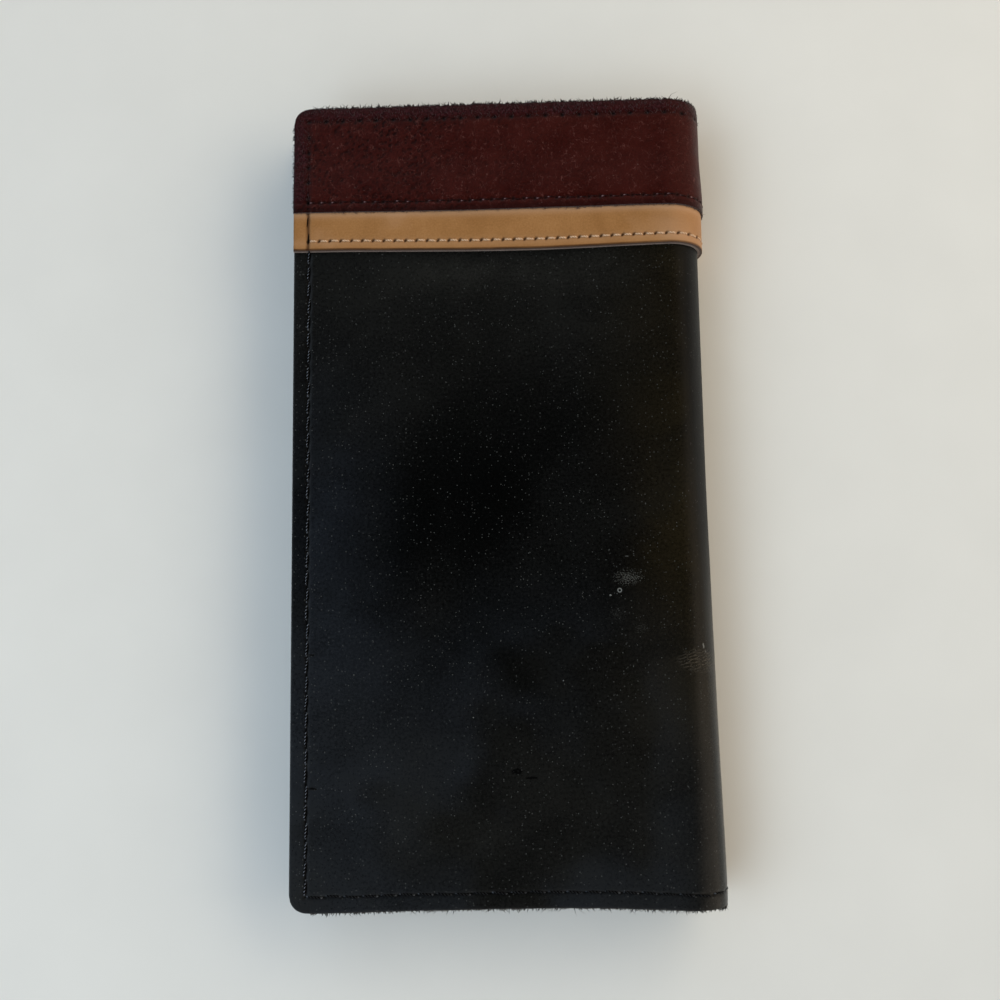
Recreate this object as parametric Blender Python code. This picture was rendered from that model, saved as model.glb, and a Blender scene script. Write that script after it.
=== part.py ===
# A rodeo wallet: a long bifold of black leather with a burgundy band and a tan strip across its top end.
# It lies closed on its back, the spine at +X, the open edge at -X, the trimmed end at +Y, up +Z.
# The origin is under the middle of the closed wallet. Lengths are in metres.

import math

import bmesh
import bpy
import numpy as np

MM = 0.001

# The closed wallet, over its cover leather
HEIGHT = 184 * MM
WIDTH = 95.5 * MM
OPEN_EDGE_THICKNESS = 12.7 * MM
SPINE_RADIUS = 7.75 * MM
CORNER_RADIUS = 5.2 * MM

# Sheets of each half, and the air between two sheets that lie on each other
GAP = 0.25 * MM
COVER_LEATHER = 1.3 * MM
LINING_CLOTH = 0.3 * MM
PANEL_LEATHER = 0.85 * MM
POCKET_LEATHER = 0.45 * MM
WINDOW_FILM = 0.25 * MM
WINDOW_LEATHER = 0.6 * MM

# Trim outside: the band's lower margin laps over the strip's skived upper margin
TRIM_LEATHER = 0.9 * MM
BAND_HEIGHT = 26.7 * MM
STRIP_HEIGHT = 9.2 * MM
LAP = 6 * MM
SKIVED_EDGE = 0.22 * MM
SKIVE_WIDTH = 0.45 * MM
LAP_SLOPE = 1.5 * MM

# Seams, as distances from the edge that each follows
OPEN_EDGE_SEAM = 3.15 * MM
BOTTOM_SEAM = 3.85 * MM
TOP_SEAM = 2.5 * MM
SEAM_CORNER = 4 * MM
BAND_SEAM = 1.75 * MM
STRIP_SEAM = 2.35 * MM
EDGE_STITCH = 3.95 * MM
TRIM_STITCH = 2.55 * MM
THREAD_WIDTH = 0.5 * MM
THREAD_THICKNESS = 0.3 * MM
STITCH_DIP = 0.1 * MM
THREAD_RAMP = 1 * MM

# Card pockets and the window pocket, on the inner panels
BACK_POCKETS = 6
FRONT_POCKETS = 4
POCKET_LENGTH = 40 * MM
POCKET_STEP = 14 * MM
LOWEST_POCKET = 6 * MM
POCKET_INSET = 0.3 * MM
PANEL_TO_SPINE = 4.4 * MM
POCKET_SEAM = 1.05 * MM
BELOW_WINDOW = 12 * MM
WINDOW_POCKET = 60 * MM
WINDOW_HOLE_WIDTH = 78 * MM
WINDOW_HOLE_HEIGHT = 46 * MM
FILM_INSET = 2 * MM

# The two fold lines lie this far apart round the spine
FOLD_SPREAD = math.radians(90)

ARC_STEP = math.radians(7.6)
CORNER_STEPS = 5
CUT_PAST = 0.8 * MM

# The front is tilted by this angle, so that the wallet is thinner at its open edge:
# the front's outer face passes through the open edge and touches the spine's circle.
BACK_FLAT = WIDTH - SPINE_RADIUS
WEDGE = math.asin(SPINE_RADIUS / math.hypot(BACK_FLAT, OPEN_EDGE_THICKNESS - SPINE_RADIUS)) - math.atan2(
    OPEN_EDGE_THICKNESS - SPINE_RADIUS, BACK_FLAT
)
FRONT_FLAT = (BACK_FLAT - SPINE_RADIUS * math.sin(WEDGE)) / math.cos(WEDGE)
ARC = math.pi + WEDGE
ARC_LENGTH = SPINE_RADIUS * ARC
LENGTH = BACK_FLAT + ARC_LENGTH + FRONT_FLAT

# Outward levels, from the cover's outer face
TRIM_LEVEL = GAP + TRIM_LEATHER
LAP_BOTTOM = GAP + SKIVED_EDGE + GAP
LAP_LEVEL = LAP_BOTTOM + TRIM_LEATHER
GROOVE = THREAD_THICKNESS + STITCH_DIP + GAP
GROOVE_WIDTH = THREAD_WIDTH + 2 * GAP

# Inward depths, from the cover's outer face
LINING_DEPTH = COVER_LEATHER + GAP
PANEL_DEPTH = LINING_DEPTH + LINING_CLOTH + GAP
POCKET_DEPTH = PANEL_DEPTH + PANEL_LEATHER + GAP
PANEL_FACE = PANEL_DEPTH + PANEL_LEATHER
FRAME_DEPTH = POCKET_DEPTH + WINDOW_FILM + GAP
POCKET_SLOPE = (POCKET_LEATHER + GAP) / POCKET_STEP

# Heights from the bottom edge
BAND_EDGE = HEIGHT - BAND_HEIGHT
STRIP_EDGE = BAND_EDGE - STRIP_HEIGHT
STRIP_TOP = BAND_EDGE + LAP
LAP_END = STRIP_TOP + GAP
WINDOW_BOTTOM = LOWEST_POCKET + POCKET_STEP * (FRONT_POCKETS - 1) + POCKET_LENGTH + BELOW_WINDOW

# How far the panels run past the flat, up the spine's curve
PANEL_REACH = SPINE_RADIUS - PANEL_TO_SPINE

# The origin, seen from the bottom left corner of the cover
MIDDLE_X = (WIDTH + LAP_LEVEL) / 2
MIDDLE_Y = HEIGHT / 2

# Fold lines: on the outermost trim, so that every sheet parts as the wallet opens
FOLD_RADIUS = SPINE_RADIUS + LAP_LEVEL
BACK_FOLD = (ARC - FOLD_SPREAD) / 2
FRONT_FOLD = (ARC + FOLD_SPREAD) / 2
FOLD_GAP = GAP / (SPINE_RADIUS - LINING_DEPTH - LINING_CLOTH)


def linear(red, green, blue):
    shares = [channel / 255 for channel in (red, green, blue)]
    return [share / 12.92 if share < 0.04045 else ((share + 0.055) / 1.055) ** 2.4 for share in shares]


def material(name, colour, roughness, alpha=1.0):
    made = bpy.data.materials.new(name)
    made.use_nodes = True
    shader = made.node_tree.nodes["Principled BSDF"]
    shader.inputs["Base Color"].default_value = (*linear(*colour), 1)
    shader.inputs["Roughness"].default_value = roughness
    shader.inputs["Metallic"].default_value = 0
    shader.inputs["Alpha"].default_value = alpha
    return made


def spine_point(angle, radius):
    # A point at this angle round the spine, from where the back's flat ends
    turned = angle - math.pi / 2
    x = BACK_FLAT + radius * math.cos(turned)
    z = SPINE_RADIUS + radius * math.sin(turned)
    return x, z


def section(along, level):
    # The wallet's section: along the cover's outer face from the back's open edge, level outward from it
    if along <= BACK_FLAT:
        return along, -level
    if along < BACK_FLAT + ARC_LENGTH:
        return spine_point((along - BACK_FLAT) / SPINE_RADIUS, SPINE_RADIUS + level)
    x, z = spine_point(ARC, SPINE_RADIUS + level)
    past = along - BACK_FLAT - ARC_LENGTH
    return x - past * math.cos(WEDGE), z - past * math.sin(WEDGE)


def world(x, y, z):
    return x - MIDDLE_X, y - MIDDLE_Y, z + LAP_LEVEL


def outer_point(along, y, level):
    x, z = section(along, level)
    return world(x, y, z)


def flat_end(side):
    # Where a half's flat meets the spine's curve, from its open edge
    return BACK_FLAT if side == "back" else FRONT_FLAT


def half_rise(side, inset):
    # How far the inner sheets lift where they run past the flat, to follow the spine's curve
    past = max(inset - flat_end(side), 0)
    radius = SPINE_RADIUS - PANEL_DEPTH
    return radius - math.sqrt(radius**2 - past**2)


def inner_point(side, inset, y, depth):
    # inset from the half's open edge, depth inward from its outer face
    raised = depth + half_rise(side, inset)
    if side == "back":
        return world(inset, y, raised)
    x = inset * math.cos(WEDGE) + raised * math.sin(WEDGE)
    z = OPEN_EDGE_THICKNESS + inset * math.sin(WEDGE) - raised * math.cos(WEDGE)
    return world(x, y, z)


def corner_cut(inset):
    # How much a rounded corner takes off each end of a column this far from the open edge
    reach = max(CORNER_RADIUS - inset, 0)
    return CORNER_RADIUS - math.sqrt(CORNER_RADIUS**2 - reach**2)


def corner_insets():
    return [CORNER_RADIUS * (1 - math.cos(math.pi / 2 * k / CORNER_STEPS)) for k in range(CORNER_STEPS)]


def arc_stations(start, end):
    # Even steps round the spine, from one angle to another
    count = max(1, round((end - start) / ARC_STEP))
    return [BACK_FLAT + SPINE_RADIUS * (start + (end - start) * k / count) for k in range(count + 1)]


def body_stations(body):
    # Where the columns of an outer sheet stand, as lengths along the section
    back_end = BACK_FOLD - FOLD_GAP / 2
    front_end = FRONT_FOLD + FOLD_GAP / 2
    if body == "back":
        return corner_insets() + [CORNER_RADIUS] + arc_stations(0, back_end)
    if body == "spine":
        return arc_stations(BACK_FOLD + FOLD_GAP / 2, FRONT_FOLD - FOLD_GAP / 2)
    corner = [LENGTH - inset for inset in corner_insets() + [CORNER_RADIUS]]
    return arc_stations(front_end, ARC) + corner[::-1]


def open_inset(along):
    # The distance to the nearer open edge
    return min(along, LENGTH - along)


def mesh_of(name, points, faces):
    mesh = bpy.data.meshes.new(name)
    mesh.from_pydata([tuple(point) for point in points], [], faces)
    editable = bmesh.new()
    editable.from_mesh(mesh)
    bmesh.ops.recalc_face_normals(editable, faces=editable.faces)
    editable.to_mesh(mesh)
    editable.free()
    return mesh


def loft(name, rings, parent, colour=None):
    # One closed body through rings of points, with the first and last ring as its ends
    size = len(rings[0])
    origin = np.array(parent.matrix_world.translation) if parent else np.zeros(3)
    points = np.concatenate([np.array(ring) for ring in rings]) - origin
    faces = [list(range(size)), list(range((len(rings) - 1) * size, len(rings) * size))]
    for ring in range(len(rings) - 1):
        for corner in range(size):
            following = (corner + 1) % size
            faces.append(
                [
                    ring * size + corner,
                    ring * size + following,
                    (ring + 1) * size + following,
                    (ring + 1) * size + corner,
                ]
            )
    made = bpy.data.objects.new(name, mesh_of(name, points, faces))
    made.parent = parent
    bpy.context.collection.objects.link(made)
    if colour:
        made.data.materials.append(colour)
    return made


def outer_sheet(name, body, outline, colour):
    # outline(inset) gives the sheet's section in that column as (y, level) points
    rings = []
    for along in body_stations(body):
        rings.append([outer_point(along, y, level) for y, level in outline(open_inset(along))])
    return loft(name, rings, BODIES[body], colour)


def inner_sheet(name, side, insets, outline, colour):
    # outline(inset) gives the sheet's section in that column as (y, depth) points
    rings = []
    for inset in insets:
        rings.append([inner_point(side, inset, y, depth) for y, depth in outline(inset)])
    return loft(name, rings, BODIES[side], colour)


def cut(target, cutter):
    cutter.hide_render = True
    cutter.display_type = "WIRE"
    boolean = target.modifiers.new(cutter.name, "BOOLEAN")
    boolean.operation = "DIFFERENCE"
    boolean.solver = "EXACT"
    boolean.object = cutter


def strand(name, path, width, bottom, top, place, parent, colour=None):
    # A bar of square section along path, a list of (across, y): bottom and top are its levels at each point
    track = np.array(path)
    steps = np.diff(track, axis=0)
    steps /= np.linalg.norm(steps, axis=1)[:, None]
    before = np.vstack([steps[:1], steps])
    after = np.vstack([steps, steps[-1:]])
    # The mitre's length grows as the path turns
    share = width / 2 / (1 + np.sum(before * after, axis=1))
    both = before + after
    side = np.stack([-both[:, 1], both[:, 0]], axis=1) * share[:, None]
    rings = []
    for index, (across, y) in enumerate(track):
        off_across, off_y = side[index]
        rings.append(
            [
                place(across + off_across, y + off_y, bottom[index]),
                place(across - off_across, y - off_y, bottom[index]),
                place(across - off_across, y - off_y, top[index]),
                place(across + off_across, y + off_y, top[index]),
            ]
        )
    return loft(name, rings, parent, colour)


def knots_at(path, heights):
    # The path's lengths at which it climbs past each height along the open edge
    track = np.array(path)
    lengths = np.concatenate([[0], np.cumsum(np.linalg.norm(np.diff(track, axis=0), axis=1))])
    rising = np.maximum.accumulate(track[:, 1])
    return [float(np.interp(height, rising, lengths)) for height in heights]


def stitched(path, stitch, heights=()):
    # The path at half stitches, and how far each point dips. Points near a height give way to one at it.
    track = np.array(path)
    lengths = np.concatenate([[0], np.cumsum(np.linalg.norm(np.diff(track, axis=0), axis=1))])
    count = 2 * max(1, round(lengths[-1] / stitch))
    at = np.linspace(0, lengths[-1], count + 1)
    dips = STITCH_DIP * (np.arange(count + 1) % 2 == 0)
    knots = np.array(knots_at(path, heights))
    if len(knots):
        clear = np.min(np.abs(at[:, None] - knots[None, :]), axis=1) > stitch / 8
        at = np.concatenate([at[clear], knots])
        dips = np.concatenate([dips[clear], np.zeros(len(knots))])
        order = np.argsort(at)
        at = at[order]
        dips = dips[order]
    across = np.interp(at, lengths, track[:, 0])
    y = np.interp(at, lengths, track[:, 1])
    return np.stack([across, y], axis=1), dips


def seam_corner(inset, y, turn_from):
    # A quarter turn of the perimeter seam about this centre
    turns = [turn_from - math.pi / 2 * k / CORNER_STEPS for k in range(CORNER_STEPS + 1)]
    return [(inset + SEAM_CORNER * math.cos(turn), y + SEAM_CORNER * math.sin(turn)) for turn in turns]


def edge_column():
    # The perimeter seam at the open edge, from the bottom row through both corners to the top row
    middle = OPEN_EDGE_SEAM + SEAM_CORNER
    low = seam_corner(middle, BOTTOM_SEAM + SEAM_CORNER, -math.pi / 2)
    high = seam_corner(middle, HEIGHT - TOP_SEAM - SEAM_CORNER, math.pi)
    return low + high


def arc_row(body, past):
    # Points round the body's share of the spine, midway between the sheets' own columns, and past its cut ends
    columns = [along for along in body_stations(body) if BACK_FLAT <= along <= LENGTH - FRONT_FLAT]
    row = [(one + other) / 2 for one, other in zip(columns, columns[1:])]
    if body != "back":
        row.insert(0, columns[0] - past)
    if body != "front":
        row.append(columns[-1] + past)
    return row


def half_seam(side, past=0):
    # The perimeter seam of one half outside, in lengths along the section: bottom row, open edge, top row
    reach = arc_row(side, past)
    column = edge_column()
    if side == "front":
        reach.reverse()
        column = [(LENGTH - inset, y) for inset, y in column]
    bottom = [(along, BOTTOM_SEAM) for along in reach[::-1]]
    top = [(along, HEIGHT - TOP_SEAM) for along in reach]
    return bottom + column + top


def trim_row(body, y, past=0):
    # A row along the trim: on the halves it stops short of the perimeter seam
    start = OPEN_EDGE_SEAM + GROOVE_WIDTH + GAP
    row = arc_row(body, past)
    if body == "back":
        row.insert(0, start)
    elif body == "front":
        row.append(LENGTH - start)
    return [(along, y) for along in row]


def spine_row(y, past=0):
    return trim_row("spine", y, past)


# Heights and levels of the perimeter seam's thread, which climbs onto the trim clear of its cut edges
RAMPS = [
    (STRIP_EDGE - GAP - THREAD_RAMP, 0),
    (STRIP_EDGE - GAP, TRIM_LEVEL),
    (BAND_EDGE - GAP - THREAD_RAMP, TRIM_LEVEL),
    (BAND_EDGE - GAP, LAP_LEVEL),
    (LAP_END, LAP_LEVEL),
    (LAP_END + LAP_SLOPE, TRIM_LEVEL),
]


def thread_levels(y):
    heights, levels = zip(*RAMPS)
    return np.interp(y, heights, levels)


def band_level(y):
    return np.interp(y, [LAP_END, LAP_END + LAP_SLOPE], [LAP_LEVEL, TRIM_LEVEL])


# Outlines of the outer sheets, in one column
def cover_outline(inset):
    low = corner_cut(inset)
    high = HEIGHT - low
    return [(low, 0), (high, 0), (high, -COVER_LEATHER), (low, -COVER_LEATHER)]


def lining_outline(inset):
    low = corner_cut(inset)
    high = HEIGHT - low
    deep = LINING_DEPTH + LINING_CLOTH
    return [(low, -LINING_DEPTH), (high, -LINING_DEPTH), (high, -deep), (low, -deep)]


def strip_outline(inset):
    skive_end = BAND_EDGE - SKIVE_WIDTH / 2
    skived = GAP + SKIVED_EDGE
    return [
        (STRIP_EDGE, GAP),
        (STRIP_EDGE, TRIM_LEVEL),
        (skive_end - SKIVE_WIDTH, TRIM_LEVEL),
        (skive_end, skived),
        (STRIP_TOP, skived),
        (STRIP_TOP, GAP),
    ]


def band_outline(inset):
    high = HEIGHT - corner_cut(inset)
    return [
        (BAND_EDGE, LAP_BOTTOM),
        (BAND_EDGE, LAP_LEVEL),
        (LAP_END, LAP_LEVEL),
        (LAP_END + LAP_SLOPE, TRIM_LEVEL),
        (high, TRIM_LEVEL),
        (high, GAP),
        (LAP_END + LAP_SLOPE, GAP),
        (LAP_END, LAP_BOTTOM),
    ]


def groove(target, path, surface, name):
    # A channel for a thread, cut into target's outer face along path
    cutter = strand(
        name, path, GROOVE_WIDTH, surface - GROOVE, surface + CUT_PAST, outer_point, target.parent
    )
    cut(target, cutter)


def thread(name, path, stitch, body, colour, heights=(), levels=None):
    # A thread flush with the leather, dipping where it goes through
    track, dips = stitched(path, stitch, heights)
    surface = levels(track[:, 1])
    bottom = surface - THREAD_THICKNESS - dips
    return strand(name, track, THREAD_WIDTH, bottom, surface - dips, outer_point, BODIES[body], colour)


def seam_parts(path, low_end, high_start):
    # A half's perimeter seam below one height and above another, and where its column stands between them
    column = path[len(path) // 2][0]
    low = [point for point in path if point[1] <= low_end]
    high = [point for point in path if point[1] >= high_start]
    return low, high, column


def build_cover(body):
    name = "spine_leather" if body == "spine" else f"{body}_cover_leather"
    leather = outer_sheet(name, body, cover_outline, BLACK)
    if body == "spine":
        row = spine_row(BOTTOM_SEAM, CUT_PAST)
        groove(leather, row, np.zeros(len(row)), "spine_bottom_groove")
        return
    low, _, column = seam_parts(half_seam(body, CUT_PAST), STRIP_EDGE, BAND_EDGE)
    path = low + [(column, STRIP_EDGE + GROOVE_WIDTH)]
    groove(leather, path, np.zeros(len(path)), f"{body}_cover_groove")


def build_strip(body):
    strip = outer_sheet(f"{body}_tan_strip", body, strip_outline, TAN)
    row = trim_row(body, STRIP_EDGE + STRIP_SEAM, CUT_PAST)
    groove(strip, row, np.full(len(row), TRIM_LEVEL), f"{body}_strip_groove")
    if body != "spine":
        column = seam_parts(half_seam(body), STRIP_EDGE, BAND_EDGE)[2]
        path = [(column, STRIP_EDGE - CUT_PAST), (column, BAND_EDGE)]
        groove(strip, path, np.full(2, TRIM_LEVEL), f"{body}_strip_column_groove")


def build_band(body):
    band = outer_sheet(f"{body}_burgundy_band", body, band_outline, BURGUNDY)
    row = trim_row(body, BAND_EDGE + BAND_SEAM, CUT_PAST)
    groove(band, row, np.full(len(row), LAP_LEVEL), f"{body}_band_groove")
    if body == "spine":
        path = spine_row(HEIGHT - TOP_SEAM, CUT_PAST)
    else:
        _, high, column = seam_parts(half_seam(body, CUT_PAST), STRIP_EDGE, LAP_END + LAP_SLOPE)
        knots = [BAND_EDGE - CUT_PAST, LAP_END, LAP_END + LAP_SLOPE]
        path = [(column, height) for height in knots] + high
    surface = band_level(np.array(path)[:, 1])
    groove(band, path, surface, f"{body}_band_edge_groove")


def build_lining(body):
    outer_sheet(f"{body}_lining", body, lining_outline, LINING)


def flat_level(level):
    return lambda y: np.full(len(y), level)


def build_outer_threads(body):
    strip_row = trim_row(body, STRIP_EDGE + STRIP_SEAM)
    thread(f"{body}_strip_thread", strip_row, TRIM_STITCH, body, CREAM_THREAD, (), flat_level(TRIM_LEVEL))
    band_row = trim_row(body, BAND_EDGE + BAND_SEAM)
    thread(f"{body}_band_thread", band_row, TRIM_STITCH, body, MAROON_THREAD, (), flat_level(LAP_LEVEL))
    if body != "spine":
        heights = [height for height, _ in RAMPS]
        seam = half_seam(body)
        thread(f"{body}_edge_thread", seam, EDGE_STITCH, body, BLACK_THREAD, heights, thread_levels)
        return
    for name, y, level in (
        ("spine_bottom_thread", BOTTOM_SEAM, 0),
        ("spine_top_thread", HEIGHT - TOP_SEAM, TRIM_LEVEL),
    ):
        thread(name, spine_row(y), EDGE_STITCH, body, BLACK_THREAD, (), flat_level(level))


# The inside of each half
def panel_end(side):
    return flat_end(side) + PANEL_REACH


def curl_insets(side):
    # Columns from the end of the flat to the end of the panel, closer where the curl is steeper
    return [flat_end(side) + PANEL_REACH * share for share in (0, 0.4, 0.7, 0.87, 1)]


def build_panel(side):
    def outline(inset):
        low = corner_cut(inset)
        high = HEIGHT - low
        return [(low, PANEL_DEPTH), (high, PANEL_DEPTH), (high, PANEL_FACE), (low, PANEL_FACE)]

    insets = corner_insets() + [CORNER_RADIUS] + curl_insets(side)
    inner_sheet(f"{side}_inner_panel", side, insets, outline, INNER_LEATHER)


def pocket_bottoms(side):
    count = BACK_POCKETS if side == "back" else FRONT_POCKETS
    return [LOWEST_POCKET + POCKET_STEP * k for k in range(count)]


def pocket_insets(side):
    return [POCKET_INSET] + curl_insets(side)


def build_pockets(side):
    # Shingled: each pocket's bottom lies on the panel and its mouth on the pocket behind it.
    # They are numbered from the deepest, which is also the highest.
    bottoms = pocket_bottoms(side)
    for number, bottom in enumerate(reversed(bottoms), start=1):

        def outline(inset, bottom=bottom):
            top = bottom + POCKET_LENGTH
            low = POCKET_DEPTH
            high = POCKET_DEPTH + POCKET_SLOPE * POCKET_LENGTH
            return [(bottom, low), (top, high), (top, high + POCKET_LEATHER), (bottom, low + POCKET_LEATHER)]

        inner_sheet(f"{side}_card_pocket_{number}", side, pocket_insets(side), outline, POCKET_COLOUR)


def build_window(side):
    top = WINDOW_BOTTOM + WINDOW_POCKET

    def film_outline(inset):
        low = WINDOW_BOTTOM + FILM_INSET
        high = top - FILM_INSET
        deep = POCKET_DEPTH + WINDOW_FILM
        return [(low, POCKET_DEPTH), (high, POCKET_DEPTH), (high, deep), (low, deep)]

    def frame_outline(inset):
        deep = FRAME_DEPTH + WINDOW_LEATHER
        return [(WINDOW_BOTTOM, FRAME_DEPTH), (top, FRAME_DEPTH), (top, deep), (WINDOW_BOTTOM, deep)]

    inner_sheet(f"{side}_window_film", side, pocket_insets(side), film_outline, CLEAR_FILM)
    frame = inner_sheet(f"{side}_window_frame", side, pocket_insets(side), frame_outline, INNER_LEATHER)
    middle = (OPEN_EDGE_SEAM + panel_end(side) - POCKET_SEAM) / 2
    left = middle - WINDOW_HOLE_WIDTH / 2
    right = middle + WINDOW_HOLE_WIDTH / 2
    low = WINDOW_BOTTOM + (WINDOW_POCKET - WINDOW_HOLE_HEIGHT) / 2
    rings = []
    for inset in (left, right):
        rings.append(
            [
                inner_point(side, inset, y, depth)
                for y, depth in (
                    (low, FRAME_DEPTH - CUT_PAST),
                    (low + WINDOW_HOLE_HEIGHT, FRAME_DEPTH - CUT_PAST),
                    (low + WINDOW_HOLE_HEIGHT, FRAME_DEPTH + WINDOW_LEATHER + CUT_PAST),
                    (low, FRAME_DEPTH + WINDOW_LEATHER + CUT_PAST),
                )
            ]
        )
    cut(frame, loft(f"{side}_window_hole", rings, frame.parent))


def inner_slabs(side):
    # What the inner threads cross on their way up: (bottom, top, depth at the bottom, depth at the top)
    slabs = []
    for bottom in pocket_bottoms(side):
        start = slabs[-1][1] if slabs else bottom
        face = POCKET_DEPTH + POCKET_LEATHER
        end = bottom + POCKET_LENGTH
        slabs.append(
            (start, end, face + POCKET_SLOPE * (start - bottom), face + POCKET_SLOPE * POCKET_LENGTH)
        )
    if side == "front":
        face = FRAME_DEPTH + WINDOW_LEATHER
        slabs.append((WINDOW_BOTTOM, WINDOW_BOTTOM + WINDOW_POCKET, face, face))
    return slabs


def inner_ramps(side):
    # Heights and surface depths that a thread follows, stepping clear of every cut edge
    ramps = [(0, PANEL_FACE)]
    last_top = None
    for bottom, top, depth_low, depth_high in inner_slabs(side):
        if last_top is None or bottom > last_top:
            if last_top is not None:
                ramps.append((last_top + GAP + THREAD_RAMP, PANEL_FACE))
            ramps.append((bottom - GAP - THREAD_RAMP, PANEL_FACE))
            ramps.append((bottom - GAP, depth_low))
        else:
            slope = (depth_high - depth_low) / (top - bottom)
            clear = GAP + THREAD_RAMP / 2
            ramps.append((bottom + clear, depth_low + slope * clear))
        ramps.append((top + GAP, depth_high))
        last_top = top
    ramps.append((last_top + GAP + THREAD_RAMP, PANEL_FACE))
    return ramps


def inner_strand(name, side, path):
    # A thread on the face of the inner sheets
    heights, depths = zip(*inner_ramps(side))
    surface = np.interp(np.array(path)[:, 1], heights, depths) + GAP

    def place(inset, y, depth):
        return inner_point(side, inset, y, depth)

    top = surface + THREAD_THICKNESS
    return strand(name, path, THREAD_WIDTH, surface, top, place, BODIES[side], BLACK_THREAD)


def build_inner_threads(side):
    knots = [height for height, _ in inner_ramps(side)[1:]]
    column = edge_column()
    low = column[: len(column) // 2]
    high = column[len(column) // 2 :]
    row_end = panel_end(side) - POCKET_SEAM
    insets = [row_end, (row_end + flat_end(side)) / 2, flat_end(side)]
    bottom_row = [(inset, BOTTOM_SEAM) for inset in insets]
    top_row = [(inset, HEIGHT - TOP_SEAM) for inset in insets[::-1]]
    start = low[-1][1] + GAP
    end = high[0][1] - GAP
    rise = [(OPEN_EDGE_SEAM, height) for height in knots if start < height < end]
    inner_strand(f"{side}_inner_thread", side, bottom_row + low + rise + high + top_row)
    seam = [(row_end, height) for height in knots]
    inner_strand(f"{side}_pocket_thread", side, seam)


def folds():
    # The joints: each empty stands on its fold line, halfway up the wallet
    made = []
    for name, angle in (("spine_fold_back", BACK_FOLD), ("spine_fold_front", FRONT_FOLD)):
        x, z = spine_point(angle, FOLD_RADIUS)
        empty = bpy.data.objects.new(name, None)
        bpy.context.collection.objects.link(empty)
        empty.location = world(x, MIDDLE_Y, z)
        print(name, "at", [round(value, 6) for value in empty.location])
        made.append(empty)
    back, front = made
    front.parent = back
    front.location -= back.location
    return back, front


for old in list(bpy.data.objects):
    bpy.data.objects.remove(old)

BLACK = material("black leather", (14, 14, 13), 0.42)
BURGUNDY = material("burgundy leather", (50, 20, 18), 0.4)
TAN = material("tan leather", (145, 105, 69), 0.5)
LINING = material("black lining cloth", (22, 21, 22), 0.9)
INNER_LEATHER = material("brown inner leather", (58, 38, 27), 0.5)
POCKET_COLOUR = material("brown pocket leather", (64, 42, 30), 0.5)
CLEAR_FILM = material("clear film", (214, 218, 216), 0.15, 0.25)
BLACK_THREAD = material("black thread", (18, 18, 18), 0.6)
CREAM_THREAD = material("cream thread", (222, 205, 170), 0.6)
MAROON_THREAD = material("maroon thread", (74, 24, 24), 0.6)

BACK_EMPTY, FRONT_EMPTY = folds()
bpy.context.view_layer.update()
BODIES = {"back": None, "spine": BACK_EMPTY, "front": FRONT_EMPTY}

for each_body in BODIES:
    build_cover(each_body)
    build_strip(each_body)
    build_band(each_body)
    build_lining(each_body)
    build_outer_threads(each_body)

for each_side in ("back", "front"):
    build_panel(each_side)
    build_pockets(each_side)
    build_inner_threads(each_side)
build_window("front")

print("each fold opens by", round(math.degrees(ARC / 2), 4), "degrees; wedge", round(math.degrees(WEDGE), 4))
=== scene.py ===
import math

import bpy
import numpy as np
from mathutils import Matrix, Vector


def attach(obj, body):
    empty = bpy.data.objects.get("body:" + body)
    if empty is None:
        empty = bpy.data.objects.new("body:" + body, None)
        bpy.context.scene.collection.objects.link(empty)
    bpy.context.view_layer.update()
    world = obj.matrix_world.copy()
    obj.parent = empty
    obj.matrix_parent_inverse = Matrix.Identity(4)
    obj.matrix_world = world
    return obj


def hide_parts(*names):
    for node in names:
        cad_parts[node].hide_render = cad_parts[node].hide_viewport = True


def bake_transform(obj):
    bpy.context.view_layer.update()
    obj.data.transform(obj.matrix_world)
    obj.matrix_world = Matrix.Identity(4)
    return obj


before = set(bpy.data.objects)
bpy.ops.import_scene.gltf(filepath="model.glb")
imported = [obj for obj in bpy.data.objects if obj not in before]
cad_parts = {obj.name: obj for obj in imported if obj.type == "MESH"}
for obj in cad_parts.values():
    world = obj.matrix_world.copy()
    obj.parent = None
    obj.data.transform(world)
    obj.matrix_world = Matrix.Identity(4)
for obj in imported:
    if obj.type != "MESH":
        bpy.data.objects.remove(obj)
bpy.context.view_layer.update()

# A long wallet of black leather, closed, with a burgundy band and a tan strip across its top end.
# Lengths are in metres. Every outer sheet lies on one section: "along" runs on the cover's face from the
# back's open edge round the spine to the front's open edge, "y" up from the bottom edge, "level" outward.
mm = 0.001

wallet = {
    "height": 184 * mm,
    "width": 95.5 * mm,
    "openThickness": 12.7 * mm,
    "spineRadius": 7.75 * mm,
    "topCorner": 4.0 * mm,
    "bottomCorner": 3.8 * mm,
    "restLevel": 1.62 * mm,  # how far the lapped trim holds the cover off the table
}
height = wallet["height"]
spineRadius = wallet["spineRadius"]
backFlat = wallet["width"] - spineRadius
overSpine = wallet["openThickness"] - spineRadius
wedge = math.asin(spineRadius / math.hypot(backFlat, overSpine)) - math.atan2(overSpine, backFlat)
frontFlat = (backFlat - spineRadius * math.sin(wedge)) / math.cos(wedge)
arc = math.pi + wedge
arcLength = spineRadius * arc
sheetLength = backFlat + arcLength + frontFlat
spineMiddle = backFlat + arcLength / 2
middleX = (wallet["width"] + wallet["restLevel"]) / 2
middleY = height / 2


# Curves and noise, worked out on whole arrays
def smoothStep(value, low, high):
    # 0 below low, 1 above high, 3t^2 - 2t^3 between
    share = np.clip((value - low) / (high - low), 0, 1)
    return share * share * (3 - 2 * share)


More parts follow.
